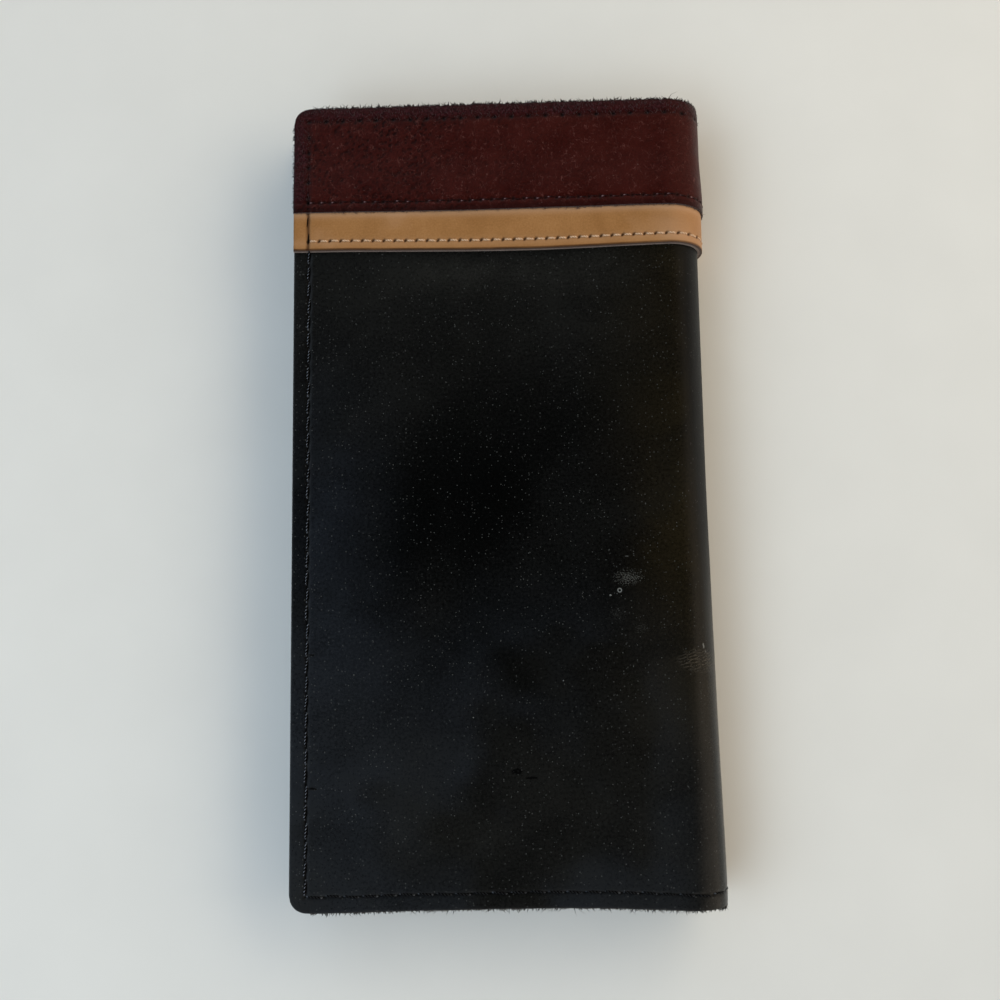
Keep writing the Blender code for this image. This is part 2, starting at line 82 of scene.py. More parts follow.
def softCurve(value, places, sizes, blur):
    # a line through the given points with its corners averaged over the blur's width
    table = np.linspace(places[0], places[-1], 600)
    reach = max(1, round(blur / (table[1] - table[0]) / 2))
    window = np.hanning(2 * reach + 3)[1:-1]
    sizes = np.convolve(np.pad(np.interp(table, places, sizes), reach, mode="edge"), window / window.sum(), "valid")
    return np.interp(value, table, sizes)


def softNoise(x, y, seed):
    # random values on a lattice of unit cells, blended with smooth shares, from -1 to 1
    lattice = np.random.default_rng(seed).random((256, 256)) * 2 - 1
    i, j = np.floor(x).astype(int), np.floor(y).astype(int)
    u, v = x - i, y - j
    u, v = u * u * (3 - 2 * u), v * v * (3 - 2 * v)
    low = lattice[i % 256, j % 256] * (1 - u) + lattice[(i + 1) % 256, j % 256] * u
    high = lattice[i % 256, (j + 1) % 256] * (1 - u) + lattice[(i + 1) % 256, (j + 1) % 256] * u
    return low * (1 - v) + high * v


def layeredNoise(x, y, size, seed, layers=3):
    # noise at this size plus finer layers, each half as big and half as strong
    total = sum(softNoise(x / size * 2**k + 17 * k, y / size * 2**k + 31 * k, seed + k) / 2**k for k in range(layers))
    return total / (2 - 0.5 ** (layers - 1))


def cellNoise(x, y, size, seed):
    # distances, in cells, to the nearest and the second nearest of one random point in each cell
    points = np.random.default_rng(seed).random((256, 256, 2)) * 0.86 + 0.07
    x, y = x / size, y / size
    i, j = np.floor(x).astype(int), np.floor(y).astype(int)
    first, second = np.full(x.shape, 9.0), np.full(x.shape, 9.0)
    for stepI in (-1, 0, 1):
        for stepJ in (-1, 0, 1):
            point = points[(i + stepI) % 256, (j + stepJ) % 256]
            away = np.hypot(i + stepI + point[..., 0] - x, j + stepJ + point[..., 1] - y)
            second = np.minimum(second, np.maximum(first, away))
            first = np.minimum(first, away)
    return first, second


def spaced(*stops):
    # positions from stop to stop, each stretch cut into even steps no longer than its own
    parts = []
    for (start, step), (end, _) in zip(stops, stops[1:]):
        parts.append(np.linspace(start, end, max(2, math.ceil((end - start) / step) + 1))[:-1])
    return np.concatenate(parts + [[stops[-1][0]]])


def bell(away, width, power=2):
    # 1 where away is 0, falling to both sides as e^-((away / width)^power)
    return np.exp(-((away / width) ** power))


def flatAt(level):
    # a surface at one level all over
    return lambda inset, y: np.full(y.shape, level)


# How the worn leather departs from straight lines
softness = {
    "flareHeights": [0, 10 * mm, 36 * mm, 60 * mm, 92 * mm, 120 * mm, 148 * mm, 166 * mm, height],
    "flares": [0.4 * mm, 0.34 * mm, 0.02 * mm, -0.18 * mm, -0.26 * mm, -0.12 * mm, 0.16 * mm, 0.36 * mm, 0.46 * mm],
    "slideInsets": np.array([0, 6, 13, 24, 40, 50, 58, 68, 77, 87, 93, 108, 125, 200]) * mm,
    "bottomSlide": np.array([-0.1, -0.17, -0.12, 0.07, 0.2, 0.26, 0.26, 0.1, -0.25, -0.75, -0.8, -0.4, 0, 0]) * mm,
    "stripSlide": np.array([0.5, 0.45, 0.4, 0.1, -0.26, -0.37, -0.4, -0.22, 0.05, 0.26, 0.3, 0.1, 0, 0]) * mm,
    "bandSlide": np.array([0.5, 0.46, 0.4, 0.25, 0.08, 0.14, 0.17, 0.15, 0.27, 0.24, 0.15, 0.1, 0, 0]) * mm,
    "flareBlur": 30 * mm,
    "slideBlur": 9 * mm,
    "wander": 0.05 * mm,  # of the cut edges, in long waves
    "tableGap": 0.02 * mm,
}


def spineFlare(along, y):
    # how far the face stands off the section: each height's flare, faded in and out as the spine turns
    turn = (along - backFlat) / spineRadius
    share = smoothStep(turn, 0.25, 1.0) * (1 - smoothStep(turn, 2.1, 2.9))
    return share * softCurve(y, softness["flareHeights"], softness["flares"], softness["flareBlur"])


def edgeSlide(along, y):
    # how far the worn edges and the trim wander up or down, each fading towards the next
    inset = np.clip(sheetLength - along, 0, softness["slideInsets"][-1])
    onBottom, onStrip, onBand = (
        softCurve(inset, softness["slideInsets"], softness[name], softness["slideBlur"])
        for name in ("bottomSlide", "stripSlide", "bandSlide")
    )
    ragged = softness["wander"] * layeredNoise(along, y * 0, 3.2 * mm, 71)
    frayed = smoothStep(y, height - 3 * mm, height)
    ragged = ragged + frayed * 0.09 * mm * layeredNoise(along, y * 0, 0.8 * mm, 73, 2)
    share = 1 - smoothStep(y, 4 * mm, 34 * mm)
    stripShare = smoothStep(y, 118 * mm, 148 * mm) * (1 - smoothStep(y, 149.5 * mm, 156 * mm))
    bandShare = smoothStep(y, 149.5 * mm, 156 * mm) * (1 - smoothStep(y, 160 * mm, 176 * mm))
    cutShare = 1 - smoothStep(np.minimum(y, height - y), 0, 3 * mm)
    return share * onBottom + stripShare * onStrip + bandShare * onBand + cutShare * ragged


def outerPlace(along, y, level, worn=True):
    # the point at a length along the section, a height and a level: flat, then the spine's circle, then the
    # tilted front
    along, y, level = np.broadcast_arrays(np.asarray(along, float), y, level)
    if worn:
        level = level + spineFlare(along, y)
        y = y + edgeSlide(along, y)
    turn = np.clip((along - backFlat) / spineRadius, 0, arc) - math.pi / 2
    before = np.minimum(along - backFlat, 0)
    past = np.maximum(along - backFlat - arcLength, 0)
    x = backFlat + (spineRadius + level) * np.cos(turn) + before - past * math.cos(wedge)
    z = spineRadius + (spineRadius + level) * np.sin(turn) - past * math.sin(wedge)
    z = z + wallet["restLevel"]
    if worn:
        z = np.maximum(z, softness["tableGap"])  # pressed flat where it lies on the table
    return np.stack([x - middleX, y - middleY, z], axis=-1)


def alongFrom(side, inset):
    # the length along the section at this distance from a half's own open edge
    return inset if side == "back" else sheetLength - inset


def halfPlace(side):
    # the same points for one half, from its own open edge
    return lambda inset, y, level: outerPlace(alongFrom(side, inset), y, level)


def flatLength(side):
    # how much of a half is flat, before the spine's curve
    return backFlat if side == "back" else frontFlat


inside = {
    "depth": 2.1 * mm,  # of the panel's outer face
    "face": 2.95 * mm,  # of the face that carries the pockets
    "pocketDepth": 3.2 * mm,
    "frameDepth": 3.7 * mm,
    "grooveDip": 0.12 * mm,
    "reach": 3.35 * mm,  # how far the panels run up the spine's curve
}


def innerPlace(side):
    # a half's inner sheets: depth inward from the cover's face, lifted where they follow the spine's curve
    flat = flatLength(side)
    radius = spineRadius - inside["depth"]

    def place(inset, y, depth):
        inset, y, depth = np.broadcast_arrays(np.asarray(inset, float), y, depth)
        raised = depth + radius - np.sqrt(radius**2 - np.maximum(inset - flat, 0) ** 2)
        if side == "back":
            x, z = inset, raised
        else:
            x = inset * math.cos(wedge) + raised * math.sin(wedge)
            z = wallet["openThickness"] + inset * math.sin(wedge) - raised * math.cos(wedge)
        return np.stack([x - middleX, y - middleY, z + wallet["restLevel"]], axis=-1)

    return place


def panelEnd(side):
    # where a half's inner sheets end, a little way up the spine's curve
    return flatLength(side) + inside["reach"]


# Meshes
def makePiece(name, points, groups, uv, materials, values=None):
    # groups holds (faces of one size, material number, flat); faces are turned outward if the volume is negative
    points = points.reshape(-1, 3)
    total = 0.0
    for faces, _, _ in groups:
        corners = points[faces]
        for k in range(1, faces.shape[1] - 1):
            total += np.einsum("ij,ij->", corners[:, 0], np.cross(corners[:, k], corners[:, k + 1]))
    if total < 0:
        groups = [(faces[:, ::-1], number, flat) for faces, number, flat in groups]
    loops = np.concatenate([faces.ravel() for faces, _, _ in groups])
    sizes = np.concatenate([np.full(len(faces), faces.shape[1]) for faces, _, _ in groups])
    mesh = bpy.data.meshes.new(name)
    mesh.vertices.add(len(points))
    mesh.vertices.foreach_set("co", points.astype(np.float32).ravel())
    mesh.loops.add(len(loops))
    mesh.loops.foreach_set("vertex_index", loops.astype(np.int32))
    mesh.polygons.add(len(sizes))
    mesh.polygons.foreach_set("loop_start", (np.cumsum(sizes) - sizes).astype(np.int32))
    numbers = np.concatenate([np.full(len(faces), number) for faces, number, _ in groups])
    mesh.polygons.foreach_set("material_index", numbers.astype(np.int32))
    mesh.update(calc_edges=True)
    flats = np.concatenate([np.full(len(faces), flat) for faces, _, flat in groups])
    mesh.attributes.new("sharp_face", "BOOLEAN", "FACE").data.foreach_set("value", flats.astype(bool))
    mesh.uv_layers.new(name="metres").data.foreach_set("uv", uv.reshape(-1, 2)[loops].astype(np.float32).ravel())
    for label, amounts in (values or {}).items():
        mesh.attributes.new(label, "FLOAT", "POINT").data.foreach_set("value", amounts.astype(np.float32).ravel())
    for material in materials:
        mesh.materials.append(material)
    mesh.validate()
    piece = bpy.data.objects.new(name, mesh)
    bpy.context.collection.objects.link(piece)
    return piece


def gridFaces(numbers, turned=False):
    # one quad for each cell of a grid of vertex numbers
    a, b, c, d = numbers[:-1, :-1], numbers[1:, :-1], numbers[1:, 1:], numbers[:-1, 1:]
    order = (a, d, c, b) if turned else (a, b, c, d)
    return np.stack(order, axis=-1).reshape(-1, 4)


def edgeLayers(thickness, shoulder, steps=3):
    # from the face to the back: how far each ring is drawn in from the cut outline, and its share of the thickness.
    # Both shoulders are quarter circles.
    turns = np.linspace(0, math.pi / 2, steps + 1)
    upper = [(shoulder * (1 - math.sin(t)), shoulder * (1 - math.cos(t)) / thickness) for t in turns]
    lower = [(shoulder * (1 - math.cos(t)), 1 - shoulder * (1 - math.sin(t)) / thickness) for t in turns]
    return upper + lower


def sheetShell(
    name, place, columns, rows, outline, top, bottom, layers, materials,
    freeEnd=False, fullBack=False, values=None, uvAlong=None,
):
    # A closed sheet: a grid on its face, rings down its cut edge, and its back. Unless freeEnd is set, the last
    # column is a flat end that meets the other half. outline(inset, drawn) gives a column's lowest and highest y.
    shares = (rows - rows[0]) / (rows[-1] - rows[0])
    run = (columns - columns[0]) / (columns[-1] - columns[0])

    def gridAt(drawn):
        # the sheet's grid with its outline drawn in by this much
        inset = columns + drawn * (1 - run * (2 if freeEnd else 1))
        low, high = outline(inset, drawn)
        y = low[:, None] + (high - low)[:, None] * shares[None, :]
        return np.repeat(inset[:, None], len(rows), axis=1), y

    wide, tall = len(columns), len(rows)
    numberI = [*range(wide - 1, -1, -1), *[0] * (tall - 1), *range(1, wide)]
    numberJ = [*[0] * wide, *range(1, tall), *[tall - 1] * (wide - 1)]
    if freeEnd:
        numberI += [wide - 1] * (tall - 2)
        numberJ += list(range(tall - 2, 0, -1))
    numberI, numberJ = np.array(numberI), np.array(numberJ)
    rim = len(numberI)

    outerInset, outerY = gridAt(0.0)
    firstS, firstY = gridAt(layers[0][0])
    outward = np.stack([(outerInset - firstS)[numberI, numberJ], (outerY - firstY)[numberI, numberJ]], axis=-1)
    outward /= np.linalg.norm(outward, axis=1)[:, None] + 1e-12

    insets, heights, levels, drops, rimShare = [], [], [], [], []
    for index, (drawn, share) in enumerate(layers):
        s, y = gridAt(drawn)
        upper, lower = top(s, y), bottom(s, y)
        level = upper + (lower - upper) * share
        whole = index == 0 or (index == len(layers) - 1 and fullBack)
        pick = (slice(None), slice(None)) if whole else (numberI, numberJ)
        insets.append(s[pick].ravel())
        heights.append(y[pick].ravel())
        levels.append(level[pick].ravel())
        away = np.zeros((s[pick].size, 2))
        if not whole:
            thick = float(np.mean(np.abs(upper - lower)))
            away = outward * share * thick
        drops.append(away)
        rimShare.append(np.full(s[pick].size, 0.0 if index == 0 else 1.0))
    inset, y, level = (np.concatenate(part) for part in (insets, heights, levels))
    away, rimShare = np.concatenate(drops), np.concatenate(rimShare)
    points = place(inset, y, level)

    face = np.arange(wide * tall).reshape(wide, tall)
    rings = [face[numberI, numberJ]]
    count = wide * tall
    for index in range(1, len(layers) - (1 if fullBack else 0)):
        rings.append(np.arange(count, count + rim))
        count += rim
    if fullBack:
        back = np.arange(count, count + wide * tall).reshape(wide, tall)
        rings.append(back[numberI, numberJ])
    groups = [(gridFaces(face), 0, False)]
    for index, (one, other) in enumerate(zip(rings, rings[1:])):
        if freeEnd:
            one, other = np.append(one, one[0]), np.append(other, other[0])
        quads = np.stack([one[:-1], one[1:], other[1:], other[:-1]], axis=-1)
        cutFace = layers[index + 1][1] > 0.12
        groups.append((quads, 1 if cutFace else 0, False))
    last = rings[-1]
    if fullBack:
        groups.append((gridFaces(back, turned=True), 2, False))
    else:
        # the back is one long quad for each column, and one many-sided face at the open edge
        low, high = last[wide - 1 :: -1], last[wide + tall - 2 : 2 * wide + tall - 2]
        if freeEnd:
            middle = slice(1, wide - 2)
            farSide = last[2 * wide + tall - 2 :]
            ring = np.concatenate([[high[wide - 2], high[wide - 1]], farSide, [low[wide - 1], low[wide - 2]]])
            groups.append((ring[None, :], 2, True))
        else:
            middle = slice(1, wide - 1)
        i = np.arange(wide)[middle]
        groups.append((np.stack([low[i], high[i], high[i + 1], low[i + 1]], axis=-1), 2, True))
        groups.append((np.concatenate([last[wide - 1 : wide + tall - 1], [high[1], low[1]]])[None, :], 2, True))
    if not freeEnd:
        starts, ends = [ring[0] for ring in rings[1:]], [ring[-1] for ring in rings[1:]]
        if fullBack:
            j = np.arange(tall - 1)
            wall = np.stack([face[-1, j + 1], face[-1, j], back[-1, j], back[-1, j + 1]], axis=-1)
            groups.append((wall, 1, True))
            groups.append((np.array([[face[-1, 0], *starts]]), 1, True))
            groups.append((np.array([[*ends[::-1], face[-1, -1]]]), 1, True))
        else:
            groups.append((np.array([[*face[-1, ::-1], *starts, *ends[::-1]]]), 1, True))
    along = inset if uvAlong is None else uvAlong(inset)
    sign = 1 if uvAlong is None else np.sign(uvAlong(np.array(1.0)) - uvAlong(np.array(0.0)))
    uv = np.stack([along + away[:, 0] * sign, y + away[:, 1]], axis=-1)
    spread = {label: function(inset, y) for label, function in (values or {}).items()}
    return makePiece(name, points, groups, uv, materials, spread)


print("shapes of the section ready, sheet", round(sheetLength / mm, 2), "mm long")


# Materials. Their patterns read the pieces' own map, in metres along and up the sheets, so a pattern's scale
# counts its waves or cells in a metre.
def newMaterial(name, roughness, sheen=0.0, gloss=0.5):
    # an empty material with the values that are the same all over it
    material = bpy.data.materials.new(name)
    material.use_nodes = True
    tree = material.node_tree
    shader = tree.nodes["Principled BSDF"]
    shader.inputs["Roughness"].default_value = roughness
    shader.inputs["Sheen Weight"].default_value = sheen
    shader.inputs["Specular IOR Level"].default_value = gloss
    return material, tree, shader


def addNode(tree, kind, sockets=None, **settings):
    # one node: its settings, and for each socket a link or a fixed value
    node = tree.nodes.new(kind)
    for name, value in settings.items():
        setattr(node, name, value)
    for name, value in (sockets or {}).items():
        if isinstance(value, bpy.types.NodeSocket):
            tree.links.new(value, node.inputs[name])
        else:
            node.inputs[name].default_value = value
    return node


def sheetMap(tree):
    # metres along and up the sheet
    return addNode(tree, "ShaderNodeUVMap", uv_map="metres").outputs[0]


def value(tree, name):
    # a share that the piece carries at each of its points
    return addNode(tree, "ShaderNodeAttribute", attribute_name=name).outputs["Fac"]


def noise(tree, vector, scale, detail=3.0, roughness=0.55, distortion=0.0):
    # a soft random pattern from 0 to 1, with finer and fainter layers in it
    sockets = {"Vector": vector, "Scale": scale, "Detail": detail, "Roughness": roughness, "Distortion": distortion}
    return addNode(tree, "ShaderNodeTexNoise", sockets).outputs["Fac"]


def cells(tree, vector, scale, feature="F1"):
    # distance to the nearest of one random point a cell, or to the line between two cells
    sockets = {"Vector": vector, "Scale": scale, "Randomness": 1.0}
    return addNode(tree, "ShaderNodeTexVoronoi", sockets, feature=feature).outputs["Distance"]


def mathNode(tree, operation, a, b=0.0, clamp=False):
    # one sum, on links or fixed numbers
    return addNode(tree, "ShaderNodeMath", {0: a, 1: b}, operation=operation, use_clamp=clamp).outputs[0]


def times(tree, a, b, clamp=False):
    return mathNode(tree, "MULTIPLY", a, b, clamp)


def plus(tree, a, b):
    return mathNode(tree, "ADD", a, b)


def averaged(tree, a, b, share=0.5):
    # two patterns added up, the first by its share and the second by the rest
    return plus(tree, times(tree, a, share), times(tree, b, 1 - share))


def vectorMath(tree, operation, a, b=(0, 0, 0), output="Vector"):
    # the same, on directions and places
    return addNode(tree, "ShaderNodeVectorMath", {0: a, 1: b}, operation=operation).outputs[output]


def fromTo(tree, source, low, high, toLow=0.0, toHigh=1.0):
    # from one value to another as the source goes from low to high, 3t^2 - 2t^3 between
    sockets = {"Value": source, "From Min": low, "From Max": high, "To Min": toLow, "To Max": toHigh}
    return addNode(tree, "ShaderNodeMapRange", sockets, interpolation_type="SMOOTHSTEP").outputs[0]


def mixColour(tree, share, a, b, blend="MIX"):
    # a at share 0, b at share 1; either is a link or a fixed colour
    node = addNode(tree, "ShaderNodeMix", data_type="RGBA", blend_type=blend)
    for index, source in ((0, share), (6, a), (7, b)):
        if isinstance(source, bpy.types.NodeSocket):
            tree.links.new(source, node.inputs[index])
        else:
            node.inputs[index].default_value = (*source, 1) if isinstance(source, tuple) else source
    return node.outputs[2]


def ramp(tree, source, *stops):
    # colours at their places, blended evenly between
    node = addNode(tree, "ShaderNodeValToRGB", {0: source})
    stripes = node.color_ramp.elements
    while len(stripes) < len(stops):
        stripes.new(0.5)
    for stripe, (place, colour) in zip(stripes, stops):
        stripe.position = place
        stripe.color = (*colour, 1)
    return node.outputs[0]


def bump(tree, source, depth, over=None):
    # relief of this depth in metres, on its own or over another
    sockets = {"Height": source, "Distance": depth, "Strength": 1.0}
    if over is not None:
        sockets["Normal"] = over
    return addNode(tree, "ShaderNodeBump", sockets).outputs[0]


def stretch(tree, vector, x, y):
    # the map scaled, so that a pattern on it grows longer where the scale is below 1
    return addNode(tree, "ShaderNodeMapping", {"Vector": vector, "Scale": (x, y, 1)}).outputs[0]


def wire(tree, shader, colour, relief=None, roughness=None):
    # the finished patterns onto the shader
    for name, source in (("Base Color", colour), ("Normal", relief), ("Roughness", roughness)):
        if source is not None:
            tree.links.new(source, shader.inputs[name])


def spot(tree, place, inset, y, wide, tall, soft=0.35):
    # 1 inside an ellipse on the front, 0 outside it, from its middle's distance to the open edge and the bottom
    # edge and its half sizes, in millimetres
    middle = vectorMath(tree, "SUBTRACT", place, (sheetLength - inset * mm, y * mm, 0))
    scaled = vectorMath(tree, "MULTIPLY", middle, (1 / (wide * mm), 1 / (tall * mm), 0))
    away = vectorMath(tree, "LENGTH", scaled, output="Value")
    return fromTo(tree, away, 1 - soft, 1, 1.0, 0.0)


def wandering(tree, place, scale, reach):
    # the map pushed about by noise, so that marks get ragged outlines
    push = addNode(tree, "ShaderNodeTexNoise", {"Vector": place, "Scale": scale, "Detail": 3.0}).outputs["Color"]
    centred = vectorMath(tree, "SUBTRACT", push, (0.5, 0.5, 0.5))
    scaled = addNode(tree, "ShaderNodeVectorMath", {0: centred, "Scale": reach}, operation="SCALE").outputs[0]
    return vectorMath(tree, "ADD", place, scaled)


def specks(tree, place, colour, tint, scale, size, empty, strength):
    # small round points in some of the cells: size in cells, and the share of the cells that stay empty
    cell = addNode(tree, "ShaderNodeTexVoronoi", {"Vector": place, "Scale": scale, "Randomness": 1.0})
    point = fromTo(tree, cell.outputs["Distance"], 0.5 * size, size, strength, 0.0)
    lot = addNode(tree, "ShaderNodeSeparateColor", {0: cell.outputs["Color"]}).outputs[0]
    return mixColour(tree, times(tree, point, fromTo(tree, lot, empty, 1.0)), colour, tint)


blackLook = {
    # marks on the front, in millimetres: from the open edge, from the bottom edge, half width, half height
    "scuffs": ((75.6, 70.9, 4.6, 2.5), (72.9, 62.8, 3.0, 2.6), (78.1, 59.6, 2.6, 1.6), (94.4, 50.4, 2.4, 2.2)),
    "scuffShares": (0.7, 0.1, 0.16, 0.25),
    "chips": ((71.5, 67.0, 0.24, 0.24), (75.4, 75.7, 0.42, 0.16), (92.2, 55.6, 0.32, 0.7), (92.7, 54.2, 0.22, 0.3)),
    "chipShares": (0.8, 0.3, 0.8, 0.5),
    "ring": (73.6, 68.1, 0.62, 0.62),
    "ringHole": 0.6,  # of the ring's size
    "blemishes": ((49.9, 29.0, 1.3, 0.8), (53.0, 27.6, 1.6, 0.35)),
    "nicks": ((4.3, 106.6, 0.9, 0.3), (4.6, 55.1, 1.0, 0.3), (5.0, 26.1, 1.5, 0.35)),
    "wrinkles": (91.0, 52.3, 6.4, 3.2),
    "wrinkleTurns": ((0.42, 0.91), (0.15, 0.99)),
    "wrinklePitch": 0.64 * mm,
    # dust: cells in a metre, size in cells, share of the cells that stay empty, strength
    "dustLayers": ((150.0, 0.026, 0.62, 1.0), (430.0, 0.06, 0.42, 0.44), (1300.0, 0.2, 0.15, 0.38)),
    "dark": (0.0005, 0.0006, 0.0006),
    "middle": (0.0013, 0.0014, 0.0014),
    "pale": (0.0042, 0.0045, 0.0045),
    # pale wax bloom and painted reflection
    "bloomAndReflection": (0.0118, 0.012, 0.0111),
    # painted warm reflection, towards the spine
    "warm": (0.017, 0.0125, 0.005),
    # painted cool reflection, by the open edge and near the bottom
    "cool": (0.0102, 0.0128, 0.0178),
    "spread": (0.45, 1.25),
    "scuff": (0.075, 0.077, 0.073),
    "wrinkled": (0.075, 0.062, 0.045),
    "dust": (0.15, 0.158, 0.158),
    "blemish": (0.0003, 0.0003, 0.0003),
    # painted shade in the seam and its holes
    "hole": (0.0004, 0.0004, 0.0004),
    "roughness": (0.24, 0.34),
    "mattRise": 0.24,
    "grainRelief": 0.04 * mm,
    "wrinkleRelief": 0.08 * mm,
    "nickRelief": 0.2 * mm,
}


def makeBlackLeather():
    # near black in clouded tones, with a pale wax bloom that is partly painted reflection and painted warm and cool
    # reflections, then its marks, its dust and painted shade along the seam
    look = blackLook
    material, tree, shader = newMaterial("waxed black leather", 0.3, gloss=0.24)
    place = sheetMap(tree)
    clouds = noise(tree, place, 26, 3, 0.5, 0.5)
    mottle = noise(tree, place, 1500, 4, 0.75)
    tone = averaged(tree, clouds, mottle)
    colour = ramp(tree, tone, (0.4, look["dark"]), (0.5, look["middle"]), (0.62, look["pale"]))
    cloudy = averaged(tree, noise(tree, place, 60, 5, 0.6, 0.8), mottle, 0.45)
    cloudy = fromTo(tree, cloudy, 0.36, 0.64, *look["spread"])
    # painted cool and warm reflections, and the pale bloom that is partly painted reflection, each where the cover's
    # values say
    for name in ("cool", "warm", "bloomAndReflection"):
        share = times(tree, value(tree, name), cloudy, clamp=True)
        colour = mixColour(tree, share, colour, look[name])
    ragged = wandering(tree, place, 900, 0.8 * mm)
    # a scuff is a fine stipple that thins out towards its rim
    stipple = noise(tree, place, 3400, 2, 0.5)
    for mark, strength in zip(look["scuffs"], look["scuffShares"]):
        dense = spot(tree, ragged, *mark, 1.0)
        points = fromTo(tree, plus(tree, stipple, times(tree, dense, 0.16)), 0.6, 0.72)
        share = times(tree, times(tree, points, fromTo(tree, dense, 0.0, 0.25)), strength)
        colour = mixColour(tree, share, colour, look["scuff"])
    rubbed = times(tree, value(tree, "scuff"), fromTo(tree, stipple, 0.5, 0.65))
    colour = mixColour(tree, rubbed, colour, look["scuff"])
    for mark, strength in zip(look["chips"], look["chipShares"]):
        colour = mixColour(tree, times(tree, spot(tree, ragged, *mark), strength), colour, look["dust"])
    inset, y, wide, tall = look["ring"]
    whole = spot(tree, place, inset, y, wide, tall)
    hollow = spot(tree, place, inset, y, look["ringHole"] * wide, look["ringHole"] * tall)
    colour = mixColour(tree, mathNode(tree, "SUBTRACT", whole, hollow, clamp=True), colour, look["dust"])
    # crossed hairlines where the cover wrinkles beside the spine: sine waves in two directions, their crests kept
    folded = wandering(tree, place, 330, 1.3 * mm)
    broken = fromTo(tree, noise(tree, place, 1100, 2, 0.5), 0.36, 0.52)
    patch = times(tree, spot(tree, ragged, *look["wrinkles"], 0.7), broken)
    lines = None
    for across in look["wrinkleTurns"]:
        phase = vectorMath(tree, "DOT_PRODUCT", folded, (*across, 0), "Value")
        wave = mathNode(tree, "SINE", times(tree, phase, 2 * math.pi / look["wrinklePitch"]))
        crest = fromTo(tree, wave, 0.75, 0.98)
        lines = crest if lines is None else mathNode(tree, "MAXIMUM", lines, crest)
    lines = times(tree, lines, patch)
    colour = mixColour(tree, times(tree, lines, 0.7), colour, look["wrinkled"])
    for mark in look["blemishes"] + look["nicks"]:
        colour = mixColour(tree, times(tree, spot(tree, ragged, *mark), 0.9), colour, look["blemish"])
    for layer in look["dustLayers"]:
        colour = specks(tree, place, colour, look["dust"], *layer)
    # painted shade in the seam's groove, its holes and the gaps beside the stitches
    colour = mixColour(tree, value(tree, "dark"), colour, look["hole"])
    rough = fromTo(tree, averaged(tree, clouds, mottle, 0.4), 0.35, 0.65, *look["roughness"])
    rough = plus(tree, rough, times(tree, value(tree, "matt"), look["mattRise"]))
    # one relief for all, in metres: grain, hairline wrinkles and the nicks beside the seam
    relief = times(tree, noise(tree, place, 1300, 4, 0.65), look["grainRelief"])
    relief = plus(tree, relief, times(tree, lines, look["wrinkleRelief"]))
    for mark in look["nicks"]:
        relief = mathNode(tree, "SUBTRACT", relief, times(tree, spot(tree, ragged, *mark), look["nickRelief"]))
    wire(tree, shader, colour, bump(tree, relief, 1.0), rough)
    return material


burgundyLook = {
    # painted shade in the creases and pits
    "crease": (0.0035, 0.0005, 0.0006),
    "dark": (0.0235, 0.0024, 0.0015),
    "pale": (0.038, 0.0046, 0.0028),
    # rubbed pebble tops, partly painted highlight
    "worn": (0.047, 0.0078, 0.0074),
    "scratch": (0.1, 0.036, 0.032),
    "lint": (0.26, 0.17, 0.16),
    # painted shade in the holes and the groove
    "hole": (0.003, 0.0008, 0.0008),
    "rimDark": (0.007, 0.0014, 0.0018),
    "rim": (0.027, 0.0042, 0.0055),
    "rimPale": (0.066, 0.022, 0.03),
    "lintLayer": (480.0, 0.06, 0.55, 0.6),  # cells in a metre, size in cells, share left empty, strength
    "scratchShare": 0.72,
    "roughness": (0.36, 0.5),
    "relief": 0.05 * mm,
}


def makeBurgundyLeather():
    # red brown between creases in painted shade, paler on the pebbles where rubbed and in painted highlight, with
    # scratches, lint and a napped rim
    look = burgundyLook
    material, tree, shader = newMaterial("pebbled burgundy leather", 0.42, gloss=0.12)
    place = sheetMap(tree)
    tone = noise(tree, place, 120, 4, 0.6, 0.4)
    fine = noise(tree, place, 2200, 3, 0.65)
    colour = ramp(tree, averaged(tree, tone, fine), (0.38, look["dark"]), (0.62, look["pale"]))
    # paler on the pebble tops: rubbed, and in painted highlight
    rubbed = times(tree, value(tree, "worn"), fromTo(tree, fine, 0.35, 0.65, 0.4, 1.0), clamp=True)
    colour = mixColour(tree, rubbed, colour, look["worn"])
    # painted shade in the creases between the pebbles and in their pits
    colour = mixColour(tree, value(tree, "crease"), colour, look["crease"])
    # fine pale scratches run where a noise crosses its middle value
    contour = noise(tree, stretch(tree, place, 1.0, 0.6), 900, 2, 0.5, 0.6)
    contour = fromTo(tree, mathNode(tree, "ABSOLUTE", mathNode(tree, "SUBTRACT", contour, 0.5)), 0.02, 0.0)
    patch = fromTo(tree, noise(tree, place, 520, 3, 0.6), 0.42, 0.6)
    scratch = times(tree, contour, patch)
    colour = mixColour(tree, times(tree, scratch, look["scratchShare"]), colour, look["scratch"])
    colour = specks(tree, place, colour, look["lint"], *look["lintLayer"])
    # napped outside the seam: dark and purplish, with pale flecks
    flecks = noise(tree, place, 1700, 4, 0.75, 0.6)
    rim = ramp(tree, flecks, (0.4, look["rimDark"]), (0.52, look["rim"]), (0.7, look["rimPale"]))
    colour = mixColour(tree, value(tree, "rim"), colour, rim)
    # painted shade in the holes and the groove, and darker along the edges
    colour = mixColour(tree, value(tree, "dark"), colour, look["hole"])
    wire(tree, shader, colour, bump(tree, fine, look["relief"]), fromTo(tree, tone, 0.3, 0.7, *look["roughness"]))
    return material


tanLook = {
    "dark": (0.25, 0.117, 0.039),
    "middle": (0.295, 0.142, 0.05),
    "pale": (0.34, 0.17, 0.064),
    # painted shade in the holes, and darker lines along the row, the cut and the open edge
    "shadeAndStain": (0.042, 0.0155, 0.0055),
    # paler: painted light under the band's edge, paler round the stitches and on the spine
    "worn": (0.41, 0.235, 0.13),
    "roughness": (0.42, 0.6),
    "poreRelief": 0.02 * mm,
    "relief": 0.03 * mm,
}


